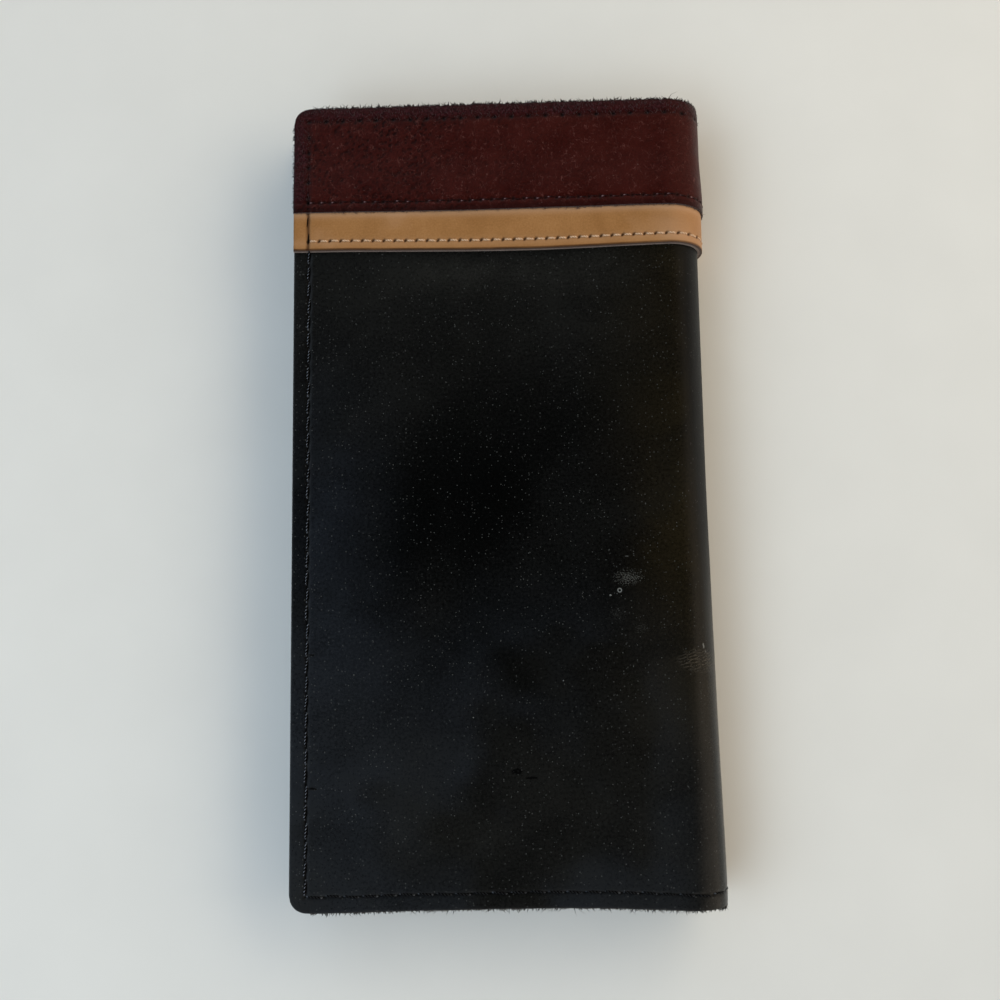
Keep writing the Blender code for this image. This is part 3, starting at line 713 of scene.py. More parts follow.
def makeTanLeather():
    # three tans in soft clouds, paler where the strip's worn value says, with painted light under the band's edge, and
    # darker where its dark value says, with painted shade in the holes
    look = tanLook
    material, tree, shader = newMaterial("smooth tan leather", 0.5, gloss=0.16)
    place = sheetMap(tree)
    tone = noise(tree, place, 85, 4, 0.6, 0.5)
    fine = noise(tree, place, 2300, 3, 0.7)
    mixed = averaged(tree, tone, fine)
    colour = ramp(tree, mixed, (0.38, look["dark"]), (0.51, look["middle"]), (0.64, look["pale"]))
    # paler where the worn value says, partly painted light
    colour = mixColour(tree, value(tree, "worn"), colour, look["worn"])
    # painted shade in the holes, and darker along the row, the cut and the open edge
    colour = mixColour(tree, value(tree, "dark"), colour, look["shadeAndStain"])
    pores = bump(tree, cells(tree, place, 2400, "SMOOTH_F1"), look["poreRelief"])
    surface = bump(tree, fine, look["relief"], over=pores)
    wire(tree, shader, colour, surface, fromTo(tree, tone, 0.3, 0.7, *look["roughness"]))
    return material


cutColours = {
    # the fibres' dark and pale tones, and the line along the shoulder
    "black cut edge": ((0.006, 0.005, 0.0045), (0.02, 0.017, 0.014), (0.004, 0.004, 0.004)),
    "burgundy cut edge": ((0.1, 0.065, 0.052), (0.25, 0.17, 0.135), (0.035, 0.018, 0.016)),
    "tan cut edge": ((0.12, 0.085, 0.07), (0.23, 0.17, 0.145), (0.05, 0.02, 0.009)),
    "brown cut edge": ((0.02, 0.009, 0.005), (0.045, 0.022, 0.013), (0.012, 0.005, 0.003)),
    "pale fibres": ((0.03, 0.014, 0.013), (0.16, 0.1, 0.09), (0.014, 0.005, 0.005)),
    "burgundy fibres": ((0.004, 0.0015, 0.0015), (0.022, 0.009, 0.008), (0.014, 0.005, 0.005)),
    "purplish nap": ((0.012, 0.003, 0.004), (0.058, 0.02, 0.027), (0.014, 0.005, 0.005)),
}


def makeCutEdge(name):
    # fibres across the cut: fine streaks in two colours, and the face's own dark line along its shoulder
    dark, pale, line = cutColours[name]
    material, tree, shader = newMaterial(name, 0.85, 0.15)
    place = sheetMap(tree)
    streaks = noise(tree, place, 2600, 4, 0.7, 0.8)
    patches = noise(tree, place, 330, 3, 0.6)
    colour = ramp(tree, averaged(tree, streaks, patches, 0.6), (0.36, dark), (0.64, pale))
    colour = mixColour(tree, value(tree, "shoulder"), colour, line)
    wire(tree, shader, colour, bump(tree, streaks, 0.12 * mm))
    return material


innerLook = {
    "brown inner leather": ((0.026, 0.0125, 0.0072), (0.05, 0.0245, 0.0138)),
    "brown pocket leather": ((0.034, 0.0155, 0.0088), (0.062, 0.029, 0.0165)),
    # painted shade in the needle holes and along the creased lines
    "hole": (0.004, 0.002, 0.0015),
    "creaseShade": 0.35,  # of the dark tone
    "roughness": (0.4, 0.58),
    "grainRelief": 0.06 * mm,
    "relief": 0.03 * mm,
}


def makeInnerLeather(name):
    # fine cells parted by dark creases, in two tones of brown
    dark, pale = innerLook[name]
    material, tree, shader = newMaterial(name, 0.5)
    place = sheetMap(tree)
    tone = noise(tree, place, 60, 4, 0.6, 0.5)
    grain = cells(tree, place, 1250, "DISTANCE_TO_EDGE")
    fine = noise(tree, place, 900, 3, 0.6)
    colour = ramp(tree, averaged(tree, tone, fine, 0.6), (0.36, dark), (0.66, pale))
    creased = tuple(innerLook["creaseShade"] * part for part in dark)
    colour = mixColour(tree, fromTo(tree, grain, 0.0, 0.12, 0.35, 0.0), colour, creased)
    # painted shade in the needle holes and along the pockets' creased lines
    colour = mixColour(tree, value(tree, "dark"), colour, innerLook["hole"])
    surface = bump(tree, fromTo(tree, grain, 0.0, 0.25), innerLook["grainRelief"])
    surface = bump(tree, fine, innerLook["relief"], over=surface)
    wire(tree, shader, colour, surface, fromTo(tree, fine, 0.3, 0.7, *innerLook["roughness"]))
    return material


clothLook = {
    "pitch": 0.42 * mm,
    "dark": (0.003, 0.003, 0.0033),
    "pale": (0.014, 0.0135, 0.0145),
    "relief": 0.08 * mm,
}


def makeLiningCloth():
    # plain weave: two sets of threads as sine waves, each over the other where the waves' product changes sign
    look = clothLook
    material, tree, shader = newMaterial("black lining cloth", 0.85, 0.2)
    split = addNode(tree, "ShaderNodeSeparateXYZ", {0: sheetMap(tree)})
    waves = [
        mathNode(tree, "SINE", times(tree, split.outputs[axis], math.pi / look["pitch"]))
        for axis in (0, 1)
    ]
    chosen = fromTo(tree, times(tree, *waves), -0.2, 0.2)
    across, upward = (mathNode(tree, "ABSOLUTE", wave) for wave in waves)
    shape = addNode(tree, "ShaderNodeMix", {0: chosen, 2: across, 3: upward}).outputs[0]
    colour = ramp(tree, shape, (0.2, look["dark"]), (0.9, look["pale"]))
    wire(tree, shader, colour, bump(tree, shape, look["relief"]))
    return material


threadLook = {
    "plyPitch": 0.78 * mm,
    "relief": 0.08 * mm,
    # colours of the groove, in painted shade, the crest, in painted highlight, and the ends, a painted glint on the
    # black and maroon and painted shade on the cream, then gloss, and where a ply turns from groove to crest
    "black": ((0.0005, 0.0005, 0.0005), (0.26, 0.275, 0.32), (0.07, 0.078, 0.092), 0.06, (0.78, 0.99)),
    "cream": ((0.46, 0.28, 0.17), (0.68, 0.48, 0.33), (0.16, 0.07, 0.03), 0.2, (0.35, 0.85)),
    "maroon": ((0.009, 0.002, 0.002), (0.03, 0.008, 0.0075), (0.2, 0.12, 0.125), 0.08, (0.35, 0.85)),
}


def makeThread(tint):
    # two plies laid round each other: painted shade where they meet and painted highlight on their crests on the lit
    # side, and each stitch's ends in a painted tone of their own
    dark, pale, tip, gloss, crest = threadLook[tint]
    material, tree, shader = newMaterial(f"{tint} twisted thread", 0.5, gloss=gloss)
    split = addNode(tree, "ShaderNodeSeparateXYZ", {0: sheetMap(tree)})
    turned = times(tree, split.outputs[0], 2 * math.pi / threadLook["plyPitch"])
    roundTurn = times(tree, split.outputs[1], 4 * math.pi)
    phase = times(tree, mathNode(tree, "SUBTRACT", roundTurn, turned), 0.5)
    ply = mathNode(tree, "ABSOLUTE", mathNode(tree, "COSINE", phase))
    # painted highlight on the plies' crests on the lit side, painted shade between them, and a painted tone at each
    # stitch's ends
    ridge = times(tree, fromTo(tree, ply, *crest), value(tree, "lit"))
    colour = mixColour(tree, value(tree, "tip"), mixColour(tree, ridge, dark, pale), tip)
    wire(tree, shader, colour, bump(tree, ply, threadLook["relief"]))
    return material


filmLook = {
    "dark": (0.05, 0.054, 0.05),
    "pale": (0.085, 0.09, 0.085),
    "roughness": (0.05, 0.12),
    "alpha": 0.2,
    "ior": 1.5,
    "waves": 0.2 * mm,
}


def makeClearFilm():
    # mostly clear, faintly scratched along its length, in shallow waves
    look = filmLook
    material, tree, shader = newMaterial("clear film", 0.12)
    place = sheetMap(tree)
    scratches = noise(tree, stretch(tree, place, 1, 0.5), 260, 4, 0.6, 1.2)
    colour = ramp(tree, scratches, (0.35, look["dark"]), (0.7, look["pale"]))
    waves = bump(tree, noise(tree, place, 60, 2, 0.5), look["waves"])
    wire(tree, shader, colour, waves, fromTo(tree, scratches, 0.4, 0.7, *look["roughness"]))
    shader.inputs["Alpha"].default_value = look["alpha"]
    shader.inputs["IOR"].default_value = look["ior"]
    return material


blackLeather = makeBlackLeather()
burgundyLeather = makeBurgundyLeather()
tanLeather = makeTanLeather()
blackCut = makeCutEdge("black cut edge")
burgundyCut = makeCutEdge("burgundy cut edge")
tanCut = makeCutEdge("tan cut edge")
bandFibre = makeCutEdge("pale fibres")
darkFibre = makeCutEdge("burgundy fibres")
napFibre = makeCutEdge("purplish nap")
innerLeather = makeInnerLeather("brown inner leather")
pocketLeather = makeInnerLeather("brown pocket leather")
innerCut = makeCutEdge("brown cut edge")
liningCloth = makeLiningCloth()
clearFilm = makeClearFilm()
blackThread = makeThread("black")
creamThread = makeThread("cream")
maroonThread = makeThread("maroon")
print("materials ready")


# Seams
seams = {
    "openEdge": 3.6 * mm,
    "bottom": 3.4 * mm,
    "top": 3.4 * mm,
    "corner": 0.6 * mm,
    "pitch": 3.95 * mm,
    "trimPitch": 2.55 * mm,
    "pocketSeam": 1.05 * mm,
    "lean": 0.4,  # of the needle's holes along the trim
    "leanHeight": 0.8,
}
trim = {
    "level": 1.15 * mm,
    "lapLevel": 1.62 * mm,
    "bandEdge": height - 26.7 * mm,
    "stripEdge": height - 35.9 * mm,
    "stripTop": height - 20.7 * mm,
    "lapEnd": height - 20.45 * mm,
    "lapSlope": 1.5 * mm,
    "bandSeam": 2.4 * mm,
    "stripSeam": 2.35 * mm,
}


def halfLength(side):
    # a half's whole length, from its open edge to the spine's middle
    return flatLength(side) + arcLength / 2


def alongPath(points, pitch):
    # even steps of about this pitch along a line through the points
    points = np.array(points)
    lengths = np.concatenate([[0], np.cumsum(np.linalg.norm(np.diff(points, axis=0), axis=1))])
    at = np.linspace(0, lengths[-1], round(lengths[-1] / pitch) + 1)
    return np.stack([np.interp(at, lengths, points[:, 0]), np.interp(at, lengths, points[:, 1])], axis=1)


def perimeterHoles(side):
    # the seam round one half: from the spine along the bottom, up the open edge and back along the top, with a
    # needle hole in each corner
    low, high, edge, end = seams["bottom"], height - seams["top"], seams["openEdge"], halfLength(side)
    corners = [(end, low), (edge, low), (edge, high), (end, high)]
    runs = [alongPath(pair, seams["pitch"]) for pair in zip(corners, corners[1:])]
    return np.concatenate([runs[0], runs[1][1:], runs[2][1:]])


def rowHoles(side, y):
    # a trim row: from the spine to the seam round the edge
    end = halfLength(side)
    count = round((end - seams["openEdge"]) / seams["trimPitch"])
    pitch = (end - seams["openEdge"]) / count
    inset = end - pitch * np.arange(count + 1)
    return np.stack([inset, np.full(len(inset), y)], axis=1)


def seamDepth(inset, y):
    # distance inward from the perimeter seam, negative outside it: a rectangle with rounded corners
    across = inset - seams["openEdge"]
    up = np.minimum(y - seams["bottom"], height - seams["top"] - y)
    radius = seams["corner"]
    corner = radius - np.hypot(np.maximum(radius - across, 0), np.maximum(radius - up, 0))
    return np.where((across < radius) & (up < radius), corner, np.minimum(across, up))


def nearest(inset, y, holes, reach):
    # distance to the nearest needle hole, worked out only within reach of the row
    away = np.full(inset.shape, 1.0)
    box = (inset < holes[:, 0].max() + reach) & (y > holes[:, 1].min() - reach) & (y < holes[:, 1].max() + reach)
    if holes[:, 1].max() - holes[:, 1].min() > 10 * mm:  # the seam round the edge, not a trim row
        box &= np.abs(seamDepth(inset, y)) < reach
    s, t = inset[box], y[box]
    if len(s):
        squares = (s[:, None] - holes[None, :, 0]) ** 2 + (t[:, None] - holes[None, :, 1]) ** 2
        away[box] = np.sqrt(np.min(squares, axis=1))
    return away


def slanted(side, inset, y, row):
    # the same place with the needle's slant taken out, so that a round mark becomes one that leans
    lean = seams["lean"] if side == "back" else -seams["lean"]
    return inset + lean * (y - row), row + seams["leanHeight"] * (y - row)


def stitches(name, place, surface, holes, look, material, thin=None):
    # one short strand for each stitch: it leaves one hole, bows over the leather and dives into the next.
    # Its section is a round with two lobes, the plies, which turn as it goes.
    starts, ends = holes[:-1], holes[1:]
    count = len(starts)
    loose = np.random.default_rng(look["seed"]).normal(size=(count, 4))
    step = ends - starts
    length = np.linalg.norm(step, axis=1)
    across = np.stack([-step[:, 1], step[:, 0]], axis=1) / length[:, None]
    share = np.array([0, 0.07, 0.18, 0.34, 0.5, 0.66, 0.82, 0.93, 1])
    turn = np.linspace(0, 2 * math.pi, 8, endpoint=False)
    reach = look["reach"] + (1 - 2 * look["reach"]) * share  # a stitch is a little shorter than its pitch
    slant = look["slant"] * (1 + 0.25 * loose[:, :1]) * (1 - 2 * share) + look["stray"] * loose[:, 1:2]
    centre = starts[:, None, :] + step[:, None, :] * reach[None, :, None] + across[:, None, :] * slant[:, :, None]
    bow = 1 - np.abs(2 * share - 1) ** look["square"]
    lift = look["lift"] * (1 + 0.2 * loose[:, 2:3])
    rise = surface(centre[..., 0], centre[..., 1]) + lift * bow - look["bury"] * (1 - bow)
    size = 1 - 0.35 * np.abs(2 * share - 1) ** 5
    twist = 2 * math.pi * share[None, :] * length[:, None] / look["twist"] + loose[:, 3:]
    lobes = 0.86 + 0.14 * np.cos(2 * (turn[None, None, :] - twist[:, :, None]))
    narrow = 1.0 if thin is None else thin(centre[..., 0], centre[..., 1])[..., None]
    radial = size[None, :, None] * lobes * narrow
    sideways = radial * np.cos(turn) * look["width"] / 2
    inset = centre[..., 0][..., None] + across[:, 0][:, None, None] * sideways
    y = centre[..., 1][..., None] + across[:, 1][:, None, None] * sideways
    level = rise[..., None] + radial * np.sin(turn) * look["thickness"] / 2
    points = place(inset, y, level)
    numbers = np.arange(count * len(share) * len(turn)).reshape(count, len(share), len(turn))
    closed = np.concatenate([numbers, numbers[:, :, :1]], axis=2)
    ring = (closed[:, :-1, :-1], closed[:, :-1, 1:], closed[:, 1:, 1:], closed[:, 1:, :-1])
    quads = np.stack(ring, axis=-1).reshape(-1, 4)
    caps = np.concatenate([numbers[:, 0, ::-1], numbers[:, -1, :]])
    u = np.broadcast_to((share * length[:, None])[:, :, None] + np.arange(count)[:, None, None] * 0.01, inset.shape)
    v = np.broadcast_to(turn / (2 * math.pi), inset.shape)
    along = 2 * share - 1 if look["oneEnd"] else np.abs(2 * share - 1)
    ending = bell(along - look["tipPlace"], look["tipReach"])
    # how strong each stitch's painted end tone is, scattered from stitch to stitch
    glintScatter = np.clip(0.55 + 0.6 * loose[:, 2], 0, 1)  # how pale each stitch's ends are
    # a strand pulled thin lies deep between the leather's lips, so it gets none of the painted highlight
    shine = np.ones((count, len(share))) if thin is None else smoothStep(narrow[..., 0], 0.66, 0.98)
    tips = np.broadcast_to((ending * glintScatter[:, None] ** look["glintScatter"] * shine)[:, :, None], inset.shape)
    # a painted highlight on the side towards the open edge on the run along it, and an even share of it on the runs
    # across
    upright = np.abs(step[:, 1]) > np.abs(step[:, 0])
    lit = np.where(upright[:, None], np.clip(np.cos(turn - 0.6), 0, 1)[None, :] ** 2, look["lit"])
    values = {"tip": tips, "lit": lit[:, None, :] * shine[:, :, None]}
    groups = [(quads, 0, False), (caps, 0, False)]
    return makePiece(name, points, groups, np.stack([u, v], axis=-1), [material], values)


def fibres(name, place, inset, y, level, away, look, material):
    # loose fibres on a cut edge: three-sided hairs that taper to a point and curl. away is their way out of the
    # edge, as a step along the inset and along y.
    count = len(inset)
    random = np.random.default_rng(look["seed"])
    length = look["length"] * np.minimum(random.gamma(2.2, 0.45, count), 2.4)
    lean, tilt = random.normal(0, 0.55, count), random.normal(0, 0.35, count)
    curl = random.normal(0, 0.5, (count, 2))
    share = np.array([0, 0.5, 1.0])[None, :]
    sideways = length[:, None] * (lean[:, None] * share + curl[:, :1] * share**2)
    outward = length[:, None] * share - 0.05 * mm
    s = inset[:, None] + away[0] * outward + away[1] * sideways
    h = y[:, None] + away[1] * outward + away[0] * sideways
    rise = level[:, None] + length[:, None] * (tilt[:, None] * share + curl[:, 1:] * share**2)
    turn = np.array([0, 2.1, 4.2])
    thick = look["width"] / 2 * np.array([1, 0.7])
    ringS = s[:, :2, None] + thick[None, :, None] * np.cos(turn)
    ringY = np.broadcast_to(h[:, :2, None], ringS.shape)
    ringL = rise[:, :2, None] + thick[None, :, None] * np.sin(turn)
    inset = np.concatenate([ringS.reshape(count, 6), s[:, 2:]], axis=1)
    y = np.concatenate([ringY.reshape(count, 6), h[:, 2:]], axis=1)
    level = np.concatenate([ringL.reshape(count, 6), rise[:, 2:]], axis=1)
    first = np.arange(count)[:, None] * 7
    quads = [[k, (k + 1) % 3, (k + 1) % 3 + 3, k + 3] for k in range(3)]
    tips = [[k + 3, (k + 1) % 3 + 3, 6] for k in range(3)] + [[0, 2, 1]]
    groups = [(np.concatenate([first + np.array([face]) for face in faces]), 0, False) for faces in (quads, tips)]
    return makePiece(name, place(inset, y, level), groups, np.stack([inset, y], axis=-1), [material])


def bend(piece, side):
    # the piece's place is baked into its mesh; the points where the flat ends and at the spine's middle are worked out
    # but not used
    flat = backFlat if side == "back" else backFlat + arcLength
    near, far = (
        [float(part) for part in outerPlace(along, middleY, cover["bendLevel"], False)]
        for along in (flat, spineMiddle)
    )
    if side == "back":
        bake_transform(piece)
    else:
        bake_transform(piece)


def coverOutline(inset, drawn):
    # the cut line of a half, drawn in by this much: straight, with its corners rounded at the open edge
    def corner(radius):
        return radius - np.sqrt(np.maximum((radius - drawn) ** 2 - np.maximum(radius - inset, 0) ** 2, 0))

    return corner(wallet["bottomCorner"]), height - corner(wallet["topCorner"])


cover = {
    "thickness": 1.3 * mm,
    "shoulder": 0.34 * mm,
    "seamDip": 0.1 * mm,
    "seamWidth": 0.42 * mm,
    "holeDip": 0.3 * mm,
    "holeWidth": 0.32 * mm,
    "edgeDip": 0.16 * mm,
    "swell": 0.1 * mm,
    "ripple": 0.02 * mm,
    "pucker": 0.035 * mm,
    "gapDip": 0.14 * mm,
    "bendLevel": -1.85 * mm,  # between the cover's face and the pockets, where the spine turns
}


def coverShape(side):
    # the cover's face: waves, the seam's groove, needle holes and a pressed edge
    holes = perimeterHoles(side)

    def top(inset, y):
        along = alongFrom(side, inset)
        edge = np.minimum(np.minimum(inset, y), height - y)
        depth = seamDepth(inset, y)
        waves = cover["swell"] * layeredNoise(along, y, 30 * mm, 5)
        waves = waves + cover["ripple"] * layeredNoise(along, y, 6 * mm, 9)
        waves = waves * smoothStep(edge, 3 * mm, 14 * mm)
        groove = cover["seamDip"] * bell(depth, cover["seamWidth"])
        wells = cover["holeDip"] * bell(nearest(inset, y, holes, 1.2 * mm), cover["holeWidth"])
        pressed = cover["edgeDip"] * np.exp(-edge / (1.3 * mm))
        gathers = cover["pucker"] * np.sin(2 * math.pi * (along + y) / seams["pitch"])
        gathers = gathers * bell(depth, 1.4 * mm)
        return waves - groove - wells - pressed + gathers - cover["gapDip"] * besideStitches(inset, y)

    return top, holes


def besideStitches(inset, y):
    # the gaps that open beside the stitches on the open edge, sunk into the face and darkened with painted shadow: a
    # narrow line, broken at each needle hole
    high = height - seams["top"]
    pitch = (high - seams["bottom"]) / round((high - seams["bottom"]) / seams["pitch"])
    line = bell(inset - seams["openEdge"] - 0.32 * mm, 0.36 * mm)
    onRun = (y > seams["bottom"]) & (y < trim["stripEdge"])
    return line * onRun * (0.7 - 0.3 * np.cos(2 * math.pi * (y - seams["bottom"]) / pitch))


def coverValues(side, holes):
    # shares from 0 to 1 of each tone over the leather: smooth steps and bells across it, broken up by noise
    def bloomAndReflection(inset, y):
        # pale wax bloom and painted reflection: a streak below the strip, a haze under the streak, and clouds near the
        # bottom
        if side == "back":
            return 0.3 * smoothStep(layeredNoise(inset, y, 24 * mm, 29), 0, 0.6)
        streak = bell(y - 142.5 * mm, 4.5 * mm) * smoothStep(inset, 14 * mm, 30 * mm)
        streak = streak * (1 - smoothStep(inset, 70 * mm, 86 * mm))
        haze = smoothStep(y, 88 * mm, 140 * mm) * 0.38 * (1 - smoothStep(inset, 70 * mm, 92 * mm))
        low = 0.56 * (1 - smoothStep(y, 8 * mm, 82 * mm)) * (0.85 + 0.5 * layeredNoise(inset, y, 14 * mm, 27))
        return 0.75 * streak * (0.6 + 0.6 * layeredNoise(inset, y, 9 * mm, 21)) + haze + low

    def scuff(inset, y):
        if side == "back":  # rubbed on the table
            return 0.25 * smoothStep(layeredNoise(inset, y, 5 * mm, 33), 0.45, 0.8)
        return np.zeros(y.shape)

    def matt(inset, y):
        # duller round the upper part of the spine
        return smoothStep(inset, 88 * mm, 95 * mm) * smoothStep(y, 46 * mm, 92 * mm)

    def warm(inset, y):
        # painted warm reflection towards the spine, but for a pool half way up and the lower end
        beside = smoothStep(inset, 62 * mm, 98 * mm) * (0.75 + 0.3 * layeredNoise(inset, y, 22 * mm, 23)) * 0.85
        pool = 1 - 0.75 * bell(y - 84 * mm, 24 * mm) * (1 - smoothStep(inset, 72 * mm, 82 * mm))
        upper = 0.15 * beside * smoothStep(y, 136 * mm, 148 * mm)
        return beside * pool * (1 - 0.9 * (1 - smoothStep(y, 10 * mm, 58 * mm))) + upper - 0.8 * matt(inset, y)

    def cool(inset, y):
        # painted cool reflection along the open edge, and in patches near the bottom
        left = 1 - smoothStep(inset, 3 * mm, 30 * mm)
        patches = smoothStep(layeredNoise(inset, y, 17 * mm, 35), -0.45, 0.25) * (1 - smoothStep(y, 30 * mm, 80 * mm))
        broken = 0.9 + 0.35 * layeredNoise(inset, y, 12 * mm, 25)
        left = 0.75 * left * (1 - smoothStep(y, 78 * mm, 146 * mm)) * broken
        beyond = 1 - smoothStep(seamDepth(inset, y), -0.4 * mm, 0.3 * mm)
        left = left * (1 - 0.7 * beyond * smoothStep(y, 20 * mm, 60 * mm))
        return left + 0.75 * patches * (1 - smoothStep(inset, 82 * mm, 94 * mm))

    def dark(inset, y):
        # painted shade in the seam's groove, its holes and the gaps beside the stitches
        wells = 0.9 * bell(nearest(inset, y, holes, 1.2 * mm), 0.4 * mm)
        row = 0.7 * bell(seamDepth(inset, y), 0.22 * mm)
        return wells + row + besideStitches(inset, y)

    tones = {"bloomAndReflection": bloomAndReflection, "warm": warm, "cool": cool, "dark": dark, "matt": matt, "scuff": scuff}
    found = {name: lambda inset, y, tone=tone: np.clip(tone(inset, y), 0, 1) for name, tone in tones.items()}
    return {**found, "shoulder": flatAt(0.0)}


def uvFor(side):
    # the map runs on from half to half, so that patterns cross the spine unbroken
    return lambda inset: alongFrom(side, inset)


def makeCover(side):
    # one half of the cover leather, fine rows and columns where it is stitched or bends
    top, holes = coverShape(side)
    end = halfLength(side)
    columns = spaced(
        (0, 0.26 * mm), (6.5 * mm, 0.85 * mm), (end - 14 * mm, 0.5 * mm), (end - 3 * mm, 0.2 * mm), (end, 0)
    )
    rows = spaced((0, 0.26 * mm), (7 * mm, 0.85 * mm), (150 * mm, 3 * mm), (height - 3 * mm, 1 * mm), (height, 0))
    piece = sheetShell(
        f"{side}CoverLeather", halfPlace(side), columns, rows, coverOutline, top,
        flatAt(-cover["thickness"]), edgeLayers(cover["thickness"], cover["shoulder"]),
        [blackLeather, blackCut, blackLeather], values=coverValues(side, holes), uvAlong=uvFor(side),
    )
    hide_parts(f"{side}_cover_leather", "spine_leather")
    bend(piece, side)


for side in ("back", "front"):
    makeCover(side)
print("cover made")


# The trim
strip = {
    "slope": 0.18 * mm,
    "holeDip": 0.5 * mm,
    "holeWidth": 0.26 * mm,
    "seamDip": 0.07 * mm,
    "skived": 0.47 * mm,  # the level of its upper margin, under the band
    "underside": 0.02 * mm,
    "swell": 0.03 * mm,
    "pressed": 0.16 * mm,  # by the black row that crosses it
}

# a cut that slopes, so that its fibres show from above: (share of the slope drawn in, share of the thickness)
slopedCut = [(1.0, 0.0), (0.84, 0.04), (0.66, 0.18), (0.42, 0.46), (0.36, 0.54), (0.08, 0.86), (0.0, 0.95), (0.05, 1.0)]


def slopedLayers(slope):
    # that cut for a sheet whose slope is this wide
    return [(slope * part, share) for part, share in slopedCut]


def burnished(drop, slope):
    # 1 on the upper half of a sloped cut, which is rubbed dark, 0 below it
    return smoothStep(drop, 0.355 * slope, 0.425 * slope)


def straightOutline(low, high):
    # two level lines, drawn in from both sides
    return lambda inset, drawn: (np.full(inset.shape, low + drawn), np.full(inset.shape, high - drawn))


def stripTop(side, inset, y, holes):
    # flat, then skived down where the band laps over it, with its row's groove and leaning holes
    row = trim["stripEdge"] + trim["stripSeam"]
    skive = smoothStep(y, trim["bandEdge"] - 0.05 * mm, trim["bandEdge"] + 0.9 * mm)
    level = trim["level"] - (trim["level"] - strip["skived"]) * skive
    level = level + strip["swell"] * layeredNoise(inset, y, 7 * mm, 41)
    level = level - strip["pressed"] * bell(inset - seams["openEdge"], 0.35 * mm)
    level = level - strip["seamDip"] * bell(y - trim["stripEdge"] - trim["stripSeam"], 0.5 * mm)
    away = nearest(*slanted(side, inset, y, row), holes, 1 * mm)
    return level - strip["holeDip"] * bell(away, strip["holeWidth"])


def makeStrip(side):
    # one half of the tan strip, with a sloped cut along its lower edge
    row = trim["stripEdge"] + trim["stripSeam"]
    holes = rowHoles(side, row)
    columns = spaced((0, 0.3 * mm), (halfLength(side), 0))
    low, high = trim["stripEdge"], trim["stripTop"]
    rows = spaced(
        (low, 0.25 * mm), (low + 4 * mm, 0.6 * mm), (high - 7 * mm, 0.3 * mm), (high - 5 * mm, 1.5 * mm), (high, 0)
    )

    def dark(inset, y):
        # painted shade in the holes; darker along the black row, above the cut and at the open edge
        wells = bell(nearest(*slanted(side, inset, y, row), holes, 1 * mm), 0.37 * mm, 4)
        waver = 0.12 * mm * layeredNoise(y, y * 0, 2.4 * mm, 47)
        line = bell(inset - seams["openEdge"] - waver, 0.42 * mm, 4)
        lip = 1 - smoothStep(y, low + strip["slope"] + 0.16 * mm, low + strip["slope"] + 0.5 * mm)
        lip = lip * (0.85 + 0.3 * layeredNoise(inset, y, 5 * mm, 45))
        return np.clip(wells + 0.85 * line + lip + 0.4 * np.exp(-inset / (0.3 * mm)), 0, 1)

    def worn(inset, y):
        # paler under the band's edge, where it is painted light, paler round the stitches and on the spine, and paler
        # in patches
        rubbed = bell(y - trim["bandEdge"], 1.1 * mm)
        rubbed = rubbed + 0.3 * bell(y - row + 0.5 * mm, 1.1 * mm)
        paleSpine = 0.4 * smoothStep(inset, 82 * mm, 92 * mm)
        return np.clip(rubbed + paleSpine + 0.25 * smoothStep(layeredNoise(inset, y, 8 * mm, 43), 0.1, 0.7), 0, 1)

    def shoulder(inset, y):
        return burnished(y - low, strip["slope"])

    piece = sheetShell(
        f"{side}TanStrip", halfPlace(side), columns, rows, straightOutline(low, high),
        lambda inset, y: stripTop(side, inset, y, holes), flatAt(strip["underside"]), slopedLayers(strip["slope"]),
        [tanLeather, tanCut, tanLeather],
        values={"dark": dark, "worn": worn, "shoulder": shoulder}, uvAlong=uvFor(side),
    )
    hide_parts(f"{side}_tan_strip", "spine_tan_strip")
    bend(piece, side)


band = {
    "slope": 0.14 * mm,
    "pebble": 1.15 * mm,
    "pebbleRise": 0.11 * mm,
    "holeDip": 0.36 * mm,
    "seamDip": 0.12 * mm,
    "swell": 0.06 * mm,
    "edgeDip": 0.2 * mm,
    "edgeSeamDip": 0.1 * mm,
    "underside": 0.72 * mm,  # over the strip, before it drops to the cover
    "undersideDrop": 0.7 * mm,
}


def bandTop(inset, y):
    # lapped over the strip, then down onto the cover, pressed in along its edges and its two rows
    share = smoothStep(y, trim["lapEnd"] - 3 * mm, trim["lapEnd"] + 9 * mm)
    level = trim["lapLevel"] + (trim["level"] - trim["lapLevel"]) * share
    level = level + band["swell"] * layeredNoise(inset, y, 9 * mm, 51)
    level = level - band["edgeDip"] * np.exp(-np.minimum(height - y, inset) / (1.0 * mm))
    level = level - band["edgeSeamDip"] * bell(seamDepth(inset, y), 0.55 * mm)
    return level - band["seamDip"] * bell(y - trim["bandEdge"] - trim["bandSeam"], 0.5 * mm)


def pebbleShape(side, inset, y):
    # rounded cells parted by creases, where a second point lies as near as the first, with pits at some middles
    along = alongFrom(side, inset)
    wander = 0.35 * mm * layeredNoise(along, y, 2.2 * mm, 55)
    first, second = cellNoise(along + wander, y - wander, band["pebble"], 53)
    crease = 0.55 * (1 - smoothStep(second - first, 0.0, 0.3))
    pits = 1 - smoothStep(first, 0.2, 0.44)
    crease = np.maximum(crease, pits * smoothStep(layeredNoise(along, y, 2.6 * mm, 59), -0.55, 0.1))
    strength = 0.3 + 0.7 * (1 - smoothStep(inset, 24 * mm, 66 * mm))
    strength = strength * (0.75 + 0.35 * layeredNoise(along, y, 12 * mm, 57))
    return crease, strength


